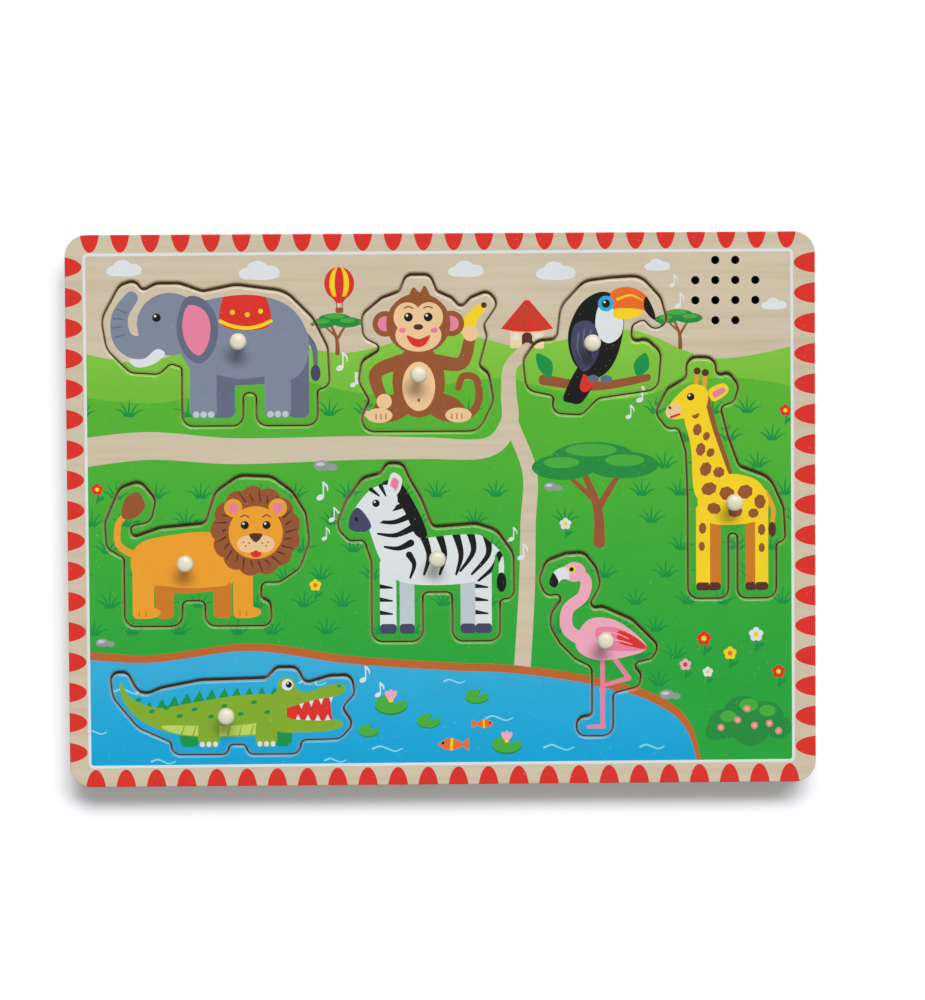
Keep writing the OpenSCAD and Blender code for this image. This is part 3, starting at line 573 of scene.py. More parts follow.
def drawCrocodile():
    s = []
    for i in range(11):
        x = -52 + 7.6 * i
        y = 21.5 + 8.5 * math.sin(math.radians(min(90, 12 * (i + 0.2))))
        s += facet("leaf", (x - 4.2, y - 2), (x + 4.2, y - 1.4), (x + 0.8, y + 6.4))
    s += slabs("leaf", (-33, 0, -21, 16, 4), (24, 0, 35, 16, 4))
    s += form("olive", (-69, 40), (-62, 30), (-46, 24), (-26, 27), (0, 31), (22, 32), (34, 28), (36, 16),
              (22, 8), (-10, 6), (-36, 8), (-56, 16), (-67, 28))
    s += form("lime", (-44, 13), (-20, 13), (8, 13.6), (33, 18), (32, 12), (20, 8.2), (-10, 6.6), (-34, 8))
    for x in range(-32, 28, 7):
        s += band("olive", [(x, 7.2), (x + 1.6, 12.8)], 0.9, 0.6)
    spots = ((-58, 29), (-50, 22), (-41, 24), (-33, 19), (-24, 23), (-14, 18.6), (-6, 25), (4, 20), (12, 27),
             (20, 21))
    s += ovals("leaf", *[(x, y, 2, 1.2, 12, 10) for x, y in spots])
    s += facet("red", (32, 24), (58, 31), (60, 14), (32, 13))
    for x in (41, 47, 53, 59):
        lift = 0.26 * (x - 41)
        s += facet("white", (x - 2.6, 28.5 + lift), (x + 2.6, 29.6 + lift), (x, 22.8 + 0.2 * (x - 41)))
        s += facet("white", (x - 4.6, 14.2), (x + 0.4, 14.2), (x - 2.1, 19.4))
    s += form("olive", (24, 32), (34, 36), (44, 33), (56, 37), (65, 38), (68, 34), (62, 30.5), (48, 28),
              (34, 24), (26, 22))
    s += form("olive", (24, 20), (36, 16.6), (52, 15.6), (63, 16), (66, 12.4), (58, 9.4), (40, 8.4),
              (26, 9.6))
    s += ovals("leaf", (64, 36.6, 1.5, 1, 0, 12)) + ovals("olive", (32, 37, 5.6, 5.2))
    s += ovals("white", (32.6, 37.6, 3.5)) + dots("black", 1.9, 16, (33.4, 37.6))
    s += dots("white", 0.6, 10, (32.8, 38.4))
    s += slabs("olive", (-22, 0, -9, 16, 4), (13, 0, 26, 16, 4))
    return s + ovals("white", *[(x, 1.6, 1.5, 1.7, 0, 12) for x in (-19.5, -15.5, -11.5, 15.5, 19.5, 23.5)])


# Each figure's place on the board, as in the part's source
figures = {
    "elephant": {"at": (-118, 50), "draw": drawElephant},
    "monkey": {"at": (-12, 46), "draw": drawMonkey},
    "toucan": {"at": (82, 57), "draw": drawToucan},
    "lion": {"at": (-126, -57), "draw": drawLion},
    "zebra": {"at": (-8, -66), "draw": drawZebra},
    "giraffe": {"at": (150, -44), "draw": drawGiraffe},
    "flamingo": {"at": (82, -118), "draw": drawFlamingo},
    "crocodile": {"at": (-112, -126), "draw": drawCrocodile},
}
figureScale = 0.88
settle = 0.3

inks = {
    "grey": (126, 136, 156), "greyDark": (98, 106, 130), "greyPale": (190, 203, 208), "slate": (66, 68, 98),
    "white": (223, 229, 231), "black": (5, 5, 4), "brown": (150, 84, 44), "brownDark": (84, 42, 30),
    "amber": (238, 160, 42), "amberDark": (205, 122, 30), "yellow": (247, 212, 32), "orange": (236, 106, 38),
    "tan": (240, 200, 150), "pink": (240, 170, 190), "rose": (232, 130, 160), "red": (220, 46, 36),
    "olive": (130, 172, 40), "lime": (190, 214, 96), "leaf": (10, 146, 70), "water": (40, 170, 216),
    "bank": (190, 100, 40), "ripple": (142, 216, 238), "tuft": (4, 146, 62), "crown": (28, 140, 58),
    "crownLight": (70, 172, 60), "wall": (240, 214, 170), "stone": (150, 152, 158),
}
# Inks that change from one height of the board to another: colour and y at the foot, colour and y at the top
blends = {
    "hillFar": ((98, 184, 48), 40, (140, 202, 66), 100),
    "meadow": ((34, 164, 56), -90, (92, 182, 44), 76),
    "river": ((0, 163, 214), -136, (62, 176, 219), -70),
}
boardX, boardY = 200, 147.5


# Motifs of the printed scene, each drawn about its own middle or foot
cloud = ovals("white", (-9, 0, 7, 4.4), (-2, 3, 8, 6.4), (7, 1, 7.4, 5), (0, -1.6, 14, 3.2))

tuft = []
for blade in (((-2, 0), (-4.2, 2.6), (-7.6, 4)), ((-1, 0), (-2.4, 4), (-4.8, 7.2)),
              ((0, 0), (0, 5), (0.4, 9)), ((1, 0), (2.6, 3.8), (5, 6.6)), ((2, 0), (4.6, 2.2), (8, 3.2))):
    tuft += band("tuft", blade, 1.5, 0.3, 3)

note = ovals("white", (0, 0, 2.1, 1.5, 25, 14)) + band("white", [(1.7, 0.4), (1.7, 8)], 0.8)
note += band("white", [(1.7, 7.8), (3.6, 6), (4, 3.6)], 1.5, 0.5, 4)

acacia = band("brown", [(2, 0), (1, 18), (-7, 38)], 6, 2.6)
acacia += band("brown", [(1, 16), (8, 28), (15, 38)], 4, 2)
acacia += band("brown", [(-1, 22), (-16, 36)], 3, 1.8)
acacia += ovals("crown", (-16, 38, 16, 6.4, 0, 28), (14, 39, 18, 6.8, 0, 28), (-1, 43, 21, 7.6, 0, 28))
acacia += ovals("crownLight", (-17, 40.4, 9, 2.8), (15, 41.4, 10, 3), (-2, 46.6, 13, 3.2))

bush = ovals("crown", (-13, 6, 9, 8.1), (-3, 11, 11, 9.9), (9, 9, 10, 9), (16, 4, 7, 6.3),
             (-18, 2, 5.5, 4.95), (1, 3, 10, 9))
bush += ovals("crownLight", (-11, 10, 4.4, 3.08), (0, 16, 5, 3.5), (10, 13, 4.4, 3.08))
for spot in ((-15, 4), (-6, 8), (3, 5), (11, 6), (-1, 14), (16, 2)):
    bush += dots("rose", 1.9, 14, spot) + dots("yellow", 0.8, 10, spot)

hut = slabs("wall", (-9, 0, 9, 12, 1)) + slabs("brownDark", (-2.8, 0, 2.8, 8.4, 2.4))
hut += slabs("orange", (-9, 9.4, 9, 12, 0.4)) + ovals("white", (-6, 6, 1.7, 2, 0, 14), (6, 6, 1.7, 2, 0, 14))
hut += facet("red", (-14, 10.4), (-7, 9), (0, 8.6), (7, 9), (14, 10.4), (1.2, 25.6), (-1.2, 25.6))
for k in (-2, -1, 0, 1, 2):
    hut += band("brown", [(1.1 * k, 22), (4.6 * k, 11.4)], 0.6, 0.9)

balloon = ovals("red", (0, 0, 10, 11, 0, 32)) + ovals("yellow", (0, 0, 6.6, 11, 0, 28))
balloon += ovals("red", (0, 0, 3, 11, 0, 28))
balloon += facet("red", (-5.4, -8.6), (5.4, -8.6), (2.2, -13), (-2.2, -13))
for k in (-1, 1):
    balloon += band("brownDark", [(2 * k, -13), (1.8 * k, -16)], 0.5)
balloon += slabs("brown", (-2.6, -19.6, 2.6, -16, 0.8))

padEdge = [spoke(0, 0, 8, math.radians(a), 4.6 / 8) for a in range(70, 400, 15)] + [(0, 0)]
lilyPad = facet("crown", *[(x, y - 0.9) for x, y in padEdge]) + facet("crownLight", *padEdge)
lilyBloom = []
for turn in (60, 90, 120):
    lilyBloom += ovals("pink", (*spoke(0, 2, 2.4, math.radians(turn)), 2.8, 1.3, turn, 14))
lilyBloom += ovals("yellow", (0, 1.6, 1.2, 0.9, 0, 12))

fish = form("orange", (-7, 0), (0, 3.4), (6, 0), (0, -3.2))
fish += facet("orange", (4.6, 0), (9.6, 3.4), (9.6, -3.4))
fish += band("yellow", [(0.6, 2.8), (0.2, -2.6)], 1.4) + dots("black", 0.8, 10, (-4.2, 0.8))

stones = ovals("stone", (0, 0, 4.4, 2.8)) + ovals("greyPale", (-0.8, 0.8, 2.4, 1.1, 0, 14))
stones += ovals("stone", (5.4, -0.9, 2.8, 1.9, 0, 16))


def flower(petal, heart):
    made = band("tuft", [(0, 0), (0.6, -4), (0, -8)], 1.0, 1.2, 3)
    made += ovals("tuft", (2.2, -5.6, 2.4, 1, 35, 12))
    made += dots(petal, 1.6, 14, *[spoke(0, 0, 2, math.radians(90 + 72 * i)) for i in range(5)])
    return made + dots(heart, 1.3, 12, (0, 0))


# A motif at each of its places, given as x, y, size and, for a mirrored one, -1
def placed(shapes, *places):
    made = []
    for x, y, size, *mirror in places:
        across = size * (mirror[0] if mirror else 1)
        made += [(ink, [(x + across * a, y + size * b) for a, b in loop], "") for ink, loop, _ in shapes]
    return made


# Ripples keep one width of line at every size
def ripples(*places):
    wave = ((-8, 0), (-4, 1.4), (0, 0), (4, -1.4), (8, 0))
    made = []
    for x, y, size in places:
        made += band("ripple", [(x + size * a, y + size * b) for a, b in wave], 1.0, 0.6, 5)
    return made


# Rows of grass over the meadow, left out of the boxes where the paths, the tree and the flowers are
lawn = {
    "rows": 13, "columns": 16, "first": (-190, -124), "step": (25.5, 14.6), "shift": 12.7,
    "sway": 4, "size": 0.95,
    "bare": ((-220, 14, 52, 48), (30, -160, 60, 160), (66, -24, 104, 160), (128, -160, 220, -64)),
}


def grass():
    made = []
    for row in range(lawn["rows"]):
        y = lawn["first"][1] + lawn["step"][1] * row
        for col in range(lawn["columns"]):
            x = lawn["first"][0] + lawn["step"][0] * col + lawn["shift"] * (row % 2)
            x += lawn["sway"] * math.sin(5.0 * row + 2.3 * col)
            onBare = any(x0 < x < x1 and y0 < y < y1 for x0, y0, x1, y1 in lawn["bare"])
            onRiver = y < -70 and x < 122 + 0.4 * (-124 - y)
            if not (onBare or onRiver):
                made += placed(tuft, (x, y, lawn["size"]))
    return made


def land(ink, *pts):
    return [(ink, line(pts, 8) + [(pts[-1][0], -160), (pts[0][0], -160)], "")]


flowerBed = [
    (140, -70, 1.1, "red", "yellow"), (154, -78, 1.0, "yellow", "orange"), (168, -68, 1.1, "white", "yellow"),
    (180, -88, 1.0, "red", "yellow"), (130, -84, 0.9, "pink", "red"), (-184, 12, 0.9, "red", "yellow"),
    (66, -8, 0.9, "white", "yellow"), (-68, -40, 0.9, "yellow", "orange"), (184, 52, 0.9, "red", "yellow"),
    (142, -88, 0.8, "white", "yellow")]
bankLine = [(-214, -76), (-160, -81), (-104, -75), (-52, -82), (0, -86), (38, -88), (78, -94), (112, -104),
            (132, -122), (140, -164)]


# The printed scene behind the figures, in millimetres from the middle of the board
def drawScene():
    s = placed(cloud, (-96, 126.5, 0.72), (14, 127, 0.62), (62, 125.5, 0.7), (178.4, 108, 0.44),
               (-168, 128.3, 0.62), (116, 129, 0.45))
    s += land("hillFar", (-210, 90), (-160, 80), (-104, 95), (-52, 84), (0, 96), (44, 87), (98, 96),
              (148, 80), (210, 92))
    s += placed(acacia, (-56, 84, 0.42), (127, 86, 0.4))
    s += land("meadow", (-210, 64), (-150, 58), (-92, 72), (-36, 62), (30, 70), (92, 58), (150, 70),
              (210, 60))
    s += grass() + placed(hut, (46, 86, 1))
    s += band("bare", [(46, 86), (37, 76), (36, 62), (36, 46), (24, 33), (-10, 33), (-46, 33.3), (-110, 32),
                       (-160, 35), (-214, 28)], 6, 16, 8)
    s += band("bare", [(36, 66), (37, 48), (47, 20), (46, -8), (45.1, -44), (42, -92)], 7, 9, 8)
    bank = line(bankLine, 8)
    s += facet("bank", *[(x + 1.6, y + 4.2) for x, y in bank], (-214, -170))
    s += facet("river", *bank, (-214, -170))
    s += ripples((-168, -96, 1), (-70, -92, 0.9), (-30, -128, 1), (30, -112, 0.9), (62, -128, 1),
                 (112, -128, 0.8), (-150, -134, 0.8), (-186, -118, 0.7), (6, -92, 0.7), (-58, -134, 0.7))
    s += placed(lilyPad, (-28, -104, 1.1), (-8, -113, 0.8), (34, -126, 1.0), (18, -100, 0.8),
                (-40, -118, 0.7))
    s += placed(lilyBloom, (-28, -104, 1.1), (34, -126, 1.0))
    s += placed(fish, (4, -126, 1.0), (22, -115, 0.7, -1))
    s += placed(acacia, (82, -18, 1.06)) + placed(bush, (164, -122, 1.0))
    s += placed(stones, (-64, 24, 1), (58, 12, 0.8), (120, -100, 0.9), (-182, -70, 0.8))
    s += placed(balloon, (-54, 121, 0.8))
    for x, y, size, petal, heart in flowerBed:
        s += placed(flower(petal, heart), (x, y, size))
    return s + placed(note, (-54, 76, 1), (-47, 67, 0.8), (126.5, 108, 0.85), (123.5, 119, 0.7), (-65, 7, 1),
                      (-59, -5, 0.8), (-63, -15, 0.7), (106, 58, 0.9), (100, 49, 0.75), (42, -26, 0.9),
                      (37, -16, 0.75), (-43, -91, 0.9), (-35, -99, 0.8))


# Border: half-oval scallops along every edge, and a white line around the field, a little off true as printed
border = {"long": 14, "lineWide": 1.5, "line": (-190.28, -137.09, 188.5, 137.99), "turn": 0.11,
          "corner": 2.5, "innerCorner": 1.3}
scallops = {
    "rear": {"count": 24, "middle": -0.67, "reach": 185.7, "deep": 9.15, "half": 5.4},
    "front": {"count": 24, "middle": -0.43, "reach": 186.05, "deep": 9.7, "half": 5.6},
    "left": {"count": 17, "middle": 1.16, "reach": 129.65, "deep": 9.25, "half": 5.6},
    "right": {"count": 17, "middle": 0.96, "reach": 129.6, "deep": 11.1, "half": 5.65},
}


def drawBorder():
    x0, y0, x1, y1 = border["line"]
    wide, long, turn = border["lineWide"], border["long"], border["turn"]
    outer = spun(slab(x0, y0, x1, y1, border["corner"], 6), turn)
    inner = spun(slab(x0 + wide, y0 + wide, x1 - wide, y1 - wide, border["innerCorner"], 6), turn)
    s = [("bare", outer, "outside"), ("white", (outer, inner), "")]
    for edge, run in scallops.items():
        away = -1 if edge in ("left", "front") else 1
        for i in range(run["count"]):
            along = run["middle"] + run["reach"] * (2 * i / (run["count"] - 1) - 1)
            if edge in ("rear", "front"):
                scallop = oval(along, away * (boardY + long - run["deep"]), run["half"], long, 0, 48)
            else:
                scallop = oval(away * (boardX + long - run["deep"]), along, long, run["half"], 0, 48)
            s.append(("red", spun(scallop, turn), ""))
    return s


# A shape of ink in its place on the board, with its reach
def inkShape(entry, scale=1.0, at=(0, 0)):
    ink, loops, rule = entry
    loops = loops if isinstance(loops, tuple) else (loops,)
    moved = [np.array([(at[0] + scale * x, at[1] + scale * y) for x, y in loop]) for loop in loops]
    low, high = np.min([m.min(0) for m in moved], 0), np.max([m.max(0) for m in moved], 0)
    return {"ink": ink, "loops": moved, "rule": rule, "low": low, "high": high}


def within(points, loop):
    x, y = points[:, 0], points[:, 1]
    inside = np.zeros(len(points), bool)
    ax, ay = loop[-1]
    for bx, by in loop:
        if ay != by:
            inside ^= ((ay > y) != (by > y)) & (x < (bx - ax) * (y - ay) / (by - ay) + ax)
        ax, ay = bx, by
    return inside


hideInks = {"body": ("white", "yellow"), "hide": ("grey", "amber", "red")}


def topInk(centres, shapes):
    top = np.full(len(centres), -1)
    names = np.array([s["ink"] for s in shapes] + [""])
    for k, s in enumerate(shapes):
        if s["rule"] == "outside":
            top[~within(centres, s["loops"][0])] = k
            continue
        near = np.flatnonzero(((centres >= s["low"]) & (centres <= s["high"])).all(1))
        hit = np.zeros(len(near), bool)
        for loop in s["loops"]:
            hit ^= within(centres[near], loop)
        if s["rule"]:
            hit &= np.isin(names[top[near]], hideInks[s["rule"]])
        top[near[hit]] = k
    return top


def blend(a, b, t):
    return [p + (q - p) * t for p, q in zip(a, b)]


flatInk = {name: (*linear(rgb), 1.0) for name, rgb in inks.items()}
flatInk["bare"] = (0.0, 0.0, 0.0, 0.0)


def inkAt(name, y):
    if name in flatInk:
        return flatInk[name]
    foot, yFoot, head, yHead = blends[name]
    return (*linear(blend(foot, head, min(1, max(0, (y - yFoot) / (yHead - yFoot))))), 1.0)


def cadCopy(node):
    bm = bmesh.new()
    bm.from_mesh(cadNodes[node].data)
    bmesh.ops.remove_doubles(bm, verts=bm.verts, dist=1e-6)
    return bm


# Outlines of the flat top of a CAD node, in millimetres, each with the wood on its left
def topLoops(node):
    bm = cadCopy(node)
    high = max(v.co.z for v in bm.verts)
    top = {f for f in bm.faces if f.normal.z > 0.9 and all(v.co.z > high - 1e-5 for v in f.verts)}
    after = {}
    for f in top:
        for corner in f.loops:
            if not any(g in top for g in corner.edge.link_faces if g is not f):
                after[corner.vert] = corner.link_loop_next.vert
    loops = []
    while after:
        vert = next(iter(after))
        loop = []
        while vert in after:
            loop.append((vert.co.x / mm, vert.co.y / mm))
            vert = after.pop(vert)
        loops.append(np.array(loop))
    bm.free()
    return sorted(loops, key=lambda p: -np.ptp(p[:, 0]))


def outward(loop):
    ahead = np.roll(loop, -1, 0) - loop
    ahead /= np.linalg.norm(ahead, axis=1)[:, None]
    side = np.c_[ahead[:, 1], -ahead[:, 0]]
    before = np.roll(side, 1, 0)
    return (side + before) / (1 + (side * before).sum(1))[:, None]


def addPiece(bm, name, finishes, body, node):
    piece = addObject(name, meshOf(bm, name))
    for key in finishes:
        piece.data.materials.append(finish[key])
    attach(piece, body)
    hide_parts(node)
    return piece


# An arc tighter than the roll becomes a plain corner
def cornered(loop, roll):
    while True:
        rim = loop - roll * outward(loop)
        flow = ((np.roll(rim, -1, 0) - rim) * (np.roll(loop, -1, 0) - loop)).sum(1)
        if flow.min() > 0:
            return loop
        k = int(flow.argmin())
        n = len(loop)
        a, b, c, d = (Vector(loop[(k + j) % n]) for j in (-1, 0, 1, 2))
        turn = (b - a).cross(c - d)
        meet = a + (b - a) * ((d - a).cross(c - d) / turn) if abs(turn) > 1e-6 else (b + c) / 2
        loop = loop.copy()
        loop[k] = meet
        loop = np.delete(loop, (k + 1) % n, 0)


# Which way each point of the rim rolls out, so that it stays on its edge, and the rim it belongs to
def rimAims(points, rims):
    starts = np.concatenate(rims)
    ends = np.concatenate([np.roll(r, -1, 0) for r in rims])
    corners = np.concatenate([outward(r) for r in rims])
    nextCorners = np.concatenate([np.roll(outward(r), -1, 0) for r in rims])
    owner = np.repeat(np.arange(len(rims)), [len(r) for r in rims])
    ahead = ends - starts
    aims = []
    for p in points:
        t = np.clip(((p - starts) * ahead).sum(1) / (ahead ** 2).sum(1), 0, 1)
        k = int(((p - starts - t[:, None] * ahead) ** 2).sum(1).argmin())
        aims.append((corners[k] * (1 - t[k]) + nextCorners[k] * t[k], owner[k]))
    return aims


def rimVerts(rim):
    return list({v for e in rim for v in e.verts})


def growRim(bm, rim, tags, out, down, z=None):
    grown = bmesh.ops.extrude_edge_only(bm, edges=rim)["geom"]
    fresh = {v for v in grown if isinstance(v, bmesh.types.BMVert)}
    for v in fresh:
        way = v[tags["aim"]]
        v.co.x += way.x * way.z * out
        v.co.y += way.y * way.z * out
        v.co.z = v.co.z - v[tags["dip"]] * down if z is None else z
    edges = [e for e in grown if isinstance(e, bmesh.types.BMEdge) and fresh.issuperset(e.verts)]
    return edges, [f for f in grown if isinstance(f, bmesh.types.BMFace)]


# The same for a ring that carries on the ink of the last one
def growInked(bm, rim, tags, ring, out, down, z=None):
    rim, faces = growRim(bm, rim, tags, out, down, z)
    ink, fresh = tags["ink"], set(faces)
    for f in faces:
        for corner in f.loops:
            other = next((g for g in corner.edge.link_faces if g not in fresh), None)
            if other is None:
                continue
            held = {c.vert: c[ink].copy() for c in other.loops}
            a, b = corner, corner.link_loop_next
            a[ink], b[ink] = held[a.vert], held[b.vert]
            a.link_loop_prev[ink], b.link_loop_next[ink] = held[a.vert], held[b.vert]
    for v in rimVerts(rim):
        v[tags["ring"]] = ring
    return rim, faces


def creaseSharp(bm, angle=38):
    for e in bm.edges:
        if len(e.link_faces) == 2 and e.calc_face_angle() > math.radians(angle):
            e.smooth = False


# Roll of an edge, outward and down as parts of its size
rollShape = ((0, 0), (0.09, 0.013), (0.6, 0.24), (0.85, 0.53), (0.97, 0.84), (1, 1))
# How brown each ring of a cut edge is, down the roll and to the foot of the lip below it; the last row is
# painted shade for the far walls of the wells, which face away from the light
browning = {"inked": (0, 0, 0.12, 0.3, 0.45, 0.6, 1), "bare": (0, 0, 0, 0.08, 0.2, 0.35, 0.85),
            "hole": (0, 0, 0.1, 0.36, 0.72, 1, 1), "farShadeRings": (0, 0, 0.5, 1, 1, 1, 1)}
# The second brown is painted shade for the far walls of the wells on bare wood; on inked far walls the
# painted shade runs to the hole's brown
cutBrown, farShadeBrown, holeBrown = linear((206, 170, 120)), linear((122, 86, 48)), linear((52, 42, 26))


# The last argument is painted shade, from 0 to 1: the far walls of the wells face away from the light, so
# their cut is drawn darker and browner than its scorch
def browned(shade, ring, drilled, farShade):
    bare = shade[3] < 0.5
    brown = holeBrown if drilled else blend(cutBrown, farShadeBrown if bare else holeBrown, farShade)
    depth = browning["hole" if drilled else "bare" if bare else "inked"][ring]
    depth += (browning["farShadeRings"][ring] - depth) * farShade
    return (*brown, depth) if bare else (*blend(shade, brown, depth), 1)


# Face board and the eight pieces, all cut from one printed sheet; rolls are outward and down in millimetres
cut = {"boardRoll": (0.5, 0.5), "wellRoll": (1.6, 0.9), "holeRoll": (0.25, 0.25), "lip": 2.1,
       "pieceFoot": 0.35, "grid": 14, "join": 0.01}
faceLow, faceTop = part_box("face_board")[0].z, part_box("face_board")[1].z
sheetFinishes = ("print", "plyEdge", "wellEdge")
outerWall, wellWall, holeWall = 1, 2, 3
wallFinish = {outerWall: 1, wellWall: 2, holeWall: 0}
# Kinds of edge by the width of their outline
edgeKinds = [
    {"over": 300, "roll": cut["boardRoll"], "wall": outerWall},
    {"over": 20, "roll": cut["wellRoll"], "wall": wellWall},
    {"over": 0, "roll": cut["holeRoll"], "wall": holeWall},
]
sceneDrawing = drawScene()


# The flat top, divided along the ink's edges; the grid keeps the colour blends even
def inkTop(bm, ink, rims, shapes):
    low, high = rims[0].min(0), rims[0].max(0)
    near = [s for s in shapes if s["rule"] == "outside" or ((s["low"] < high) & (s["high"] > low)).all()]
    points, edges = [], []
    for loop in rims + [part for s in near for part in s["loops"]]:
        first, n = len(points), len(loop)
        points += [Vector(p) for p in loop]
        edges += [(first + i, first + (i + 1) % n) for i in range(n)]
    grid = np.mgrid[low[0]:high[0]:cut["grid"], low[1]:high[1]:cut["grid"]].reshape(2, -1).T
    points += [Vector(p) for p in grid]
    flat, _, faces = geometry.delaunay_2d_cdt(points, edges, [], 0, cut["join"])[:3]
    flat, faces = np.array(flat), np.array([f for f in faces if len(f) == 3])
    centres = flat[faces].mean(1)
    keep = within(centres, rims[0])
    for rim in rims[1:]:
        keep &= ~within(centres, rim)
    made = {}
    for face, k in zip(faces[keep], topInk(centres[keep], near)):
        for i in face:
            if i not in made:
                made[i] = bm.verts.new((flat[i][0] * mm, flat[i][1] * mm, faceTop))
        cell = bm.faces.new([made[i] for i in face])
        name = near[k]["ink"] if k >= 0 else "bare"
        for corner in cell.loops:
            corner[ink] = inkAt(name, corner.vert.co.y / mm)


# A printed sheet: its rim is rolled over and drawn down, and the cut turns brown; the far walls of the wells
# also get painted shade
def printedSheet(loops, rolls, walls, shapes, foot=0.0):
    loops = [cornered(loop, roll[0]) for loop, roll in zip(loops, rolls)]
    rims = [loop - roll[0] * outward(loop) for loop, roll in zip(loops, rolls)]
    bm = bmesh.new()
    layers = bm.verts.layers
    ink = bm.loops.layers.float_color.new("ink")
    aim, dip = layers.float_vector.new("aim"), layers.float.new("dip")
    wall, ring = layers.int.new("wall"), layers.int.new("ring")
    tags = {"ink": ink, "aim": aim, "dip": dip, "ring": ring}
    inkTop(bm, ink, rims, shapes)

    # each rim vertex keeps the way it rolls out and the finish of its wall
    rim = [e for e in bm.edges if e.is_boundary]
    verts = rimVerts(rim)
    aims = rimAims(np.array([(v.co.x / mm, v.co.y / mm) for v in verts]), rims)
    for v, (out, k) in zip(verts, aims):
        v[aim] = (out[0], out[1], rolls[k][0] * mm)
        v[dip] = rolls[k][1] * mm
        v[wall] = walls[k]
    rolled = []
    for step, (a, b) in enumerate(zip(rollShape, rollShape[1:])):
        rim, added = growInked(bm, rim, tags, step + 1, b[0] - a[0], b[1] - a[1])
        rolled += added
    rim, lip = growInked(bm, rim, tags, len(rollShape), 0, 0, faceTop - cut["lip"] * mm)
    rim, sides = growRim(bm, rim, tags, 0, 0, faceLow + foot)
    if foot:
        rim, added = growRim(bm, rim, tags, -foot / (rolls[0][0] * mm), 0, faceLow)
        sides += added
    for f in rolled + lip + sides:
        f.smooth = True
        kind = f.verts[0][wall]
        if kind == outerWall:
            continue
        for corner in f.loops:
            # Painted shade: walls of the board's wells that face away from the light are drawn darker, more
            # so the further they face away
            takesFarShade = kind == wellWall and not foot  # the far walls of the wells
            farShade = max(0, -corner.vert[aim].y) if takesFarShade else 0
            corner[ink] = browned(corner[ink], corner.vert[ring], kind == holeWall, farShade)
    for f in lip:
        f.material_index = 1 if f.verts[0][wall] == outerWall else 0
    for f in sides:
        f.material_index = wallFinish[f.verts[0][wall]]
    under = bmesh.ops.triangle_fill(bm, use_beauty=True, use_dissolve=False, edges=rim, normal=(0, 0, -1))
    for f in under["geom"]:
        if isinstance(f, bmesh.types.BMFace):
            for corner in f.loops:
                corner[ink] = flatInk["bare"]
    bmesh.ops.recalc_face_normals(bm, faces=bm.faces)
    creaseSharp(bm)
    marks = ((layers.float_vector, "aim"), (layers.float, "dip"), (layers.int, "wall"), (layers.int, "ring"))
    for group, key in marks:
        group.remove(group[key])
    return bm


def buildFaceBoard():
    loops = topLoops("face_board")
    kinds = [next(kind for kind in edgeKinds if np.ptp(loop[:, 0]) > kind["over"]) for loop in loops]
    shapes = [inkShape(entry) for entry in sceneDrawing + drawBorder()]
    bm = printedSheet(loops, [kind["roll"] for kind in kinds], [kind["wall"] for kind in kinds], shapes)
    addPiece(bm, "printed_face_board", sheetFinishes, "tray", "face_board")


def buildPiece(name):
    spot = figures[name]
    shapes = [inkShape(entry, 1.0, (0, -settle)) for entry in sceneDrawing]
    place = (spot["at"][0], spot["at"][1] - settle)
    shapes += [inkShape(entry, figureScale, place) for entry in spot["draw"]()]
    node = name + "_piece"
    bm = printedSheet(topLoops(node)[:1], [cut["wellRoll"]], [wellWall], shapes, cut["pieceFoot"] * mm)
    addPiece(bm, "printed_" + node, sheetFinishes, name, node)


buildFaceBoard()
print("face board printed")
for name in figures:
    buildPiece(name)
print("pieces printed:", len(figures))


def middleOf(node):
    return [(low + high) / 2 for low, high in zip(*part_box(node))]


# A part made upright at the origin, turned about Y and set in its place
def laid(bm, at, lie):
    bmesh.ops.rotate(bm, verts=bm.verts, cent=(0, 0, 0), matrix=Matrix.Rotation(math.radians(lie), 3, "Y"))
    bmesh.ops.translate(bm, verts=bm.verts, vec=at)
    return bm


# Turned parts: a profile of radius and height in millimetres, spun about the upright through "at"
def turned(profile, at=(0, 0, 0), around=40, lie=0, pick=None):
    bm = bmesh.new()
    verts = [bm.verts.new((r * mm, 0, z * mm)) for r, z in profile]
    edges = [bm.edges.new(pair) for pair in zip(verts, verts[1:])]
    bmesh.ops.spin(bm, geom=verts + edges, cent=(0, 0, 0), axis=(0, 0, 1), dvec=(0, 0, 0), angle=2 * math.pi,
                   steps=around, use_merge=True)
    bmesh.ops.remove_doubles(bm, verts=bm.verts, dist=1e-7)
    bmesh.ops.recalc_face_normals(bm, faces=bm.faces)
    for f in bm.faces:
        f.smooth = True
        middle = f.calc_center_median() / mm
        f.material_index = pick(middle.xy.length, middle.z) if pick else 0
    creaseSharp(bm)
    return laid(bm, at, lie)


# Knobs: a ball on a stem, its crown flatter than a ball and its stem flared where they meet
knobShape = {"head": 4.5, "headHigh": 6.4, "high": 15, "stem": 2.75, "sunk": 1.0, "full": 2.6, "flare": 0.05,
             "flareFrom": 0.1, "flareTo": 0.25}


def buildKnob(name):
    k = knobShape
    stem, neck = k["stem"], k["high"] - k["headHigh"]
    profile = [(0, -k["sunk"]), (stem, -k["sunk"]), (stem, neck - k["flareFrom"]),
               (stem + k["flare"], neck + k["flareTo"])]
    for a in range(-48, 90, 6):
        across, up = math.cos(math.radians(a)), math.sin(math.radians(a))
        if up > 0:
            across, up = across ** (2 / k["full"]), up ** (2 / k["full"])
        profile.append((k["head"] * across, neck + k["headHigh"] * (1 + up) / 2))
    profile.append((0, k["high"]))
    x, y, _ = middleOf(name + "_knob")
    addPiece(turned(profile, (x, y, faceTop)), "peg_" + name, ("lacquer",), name, name + "_knob")


for name in figures:
    buildKnob(name)
print("knobs turned")


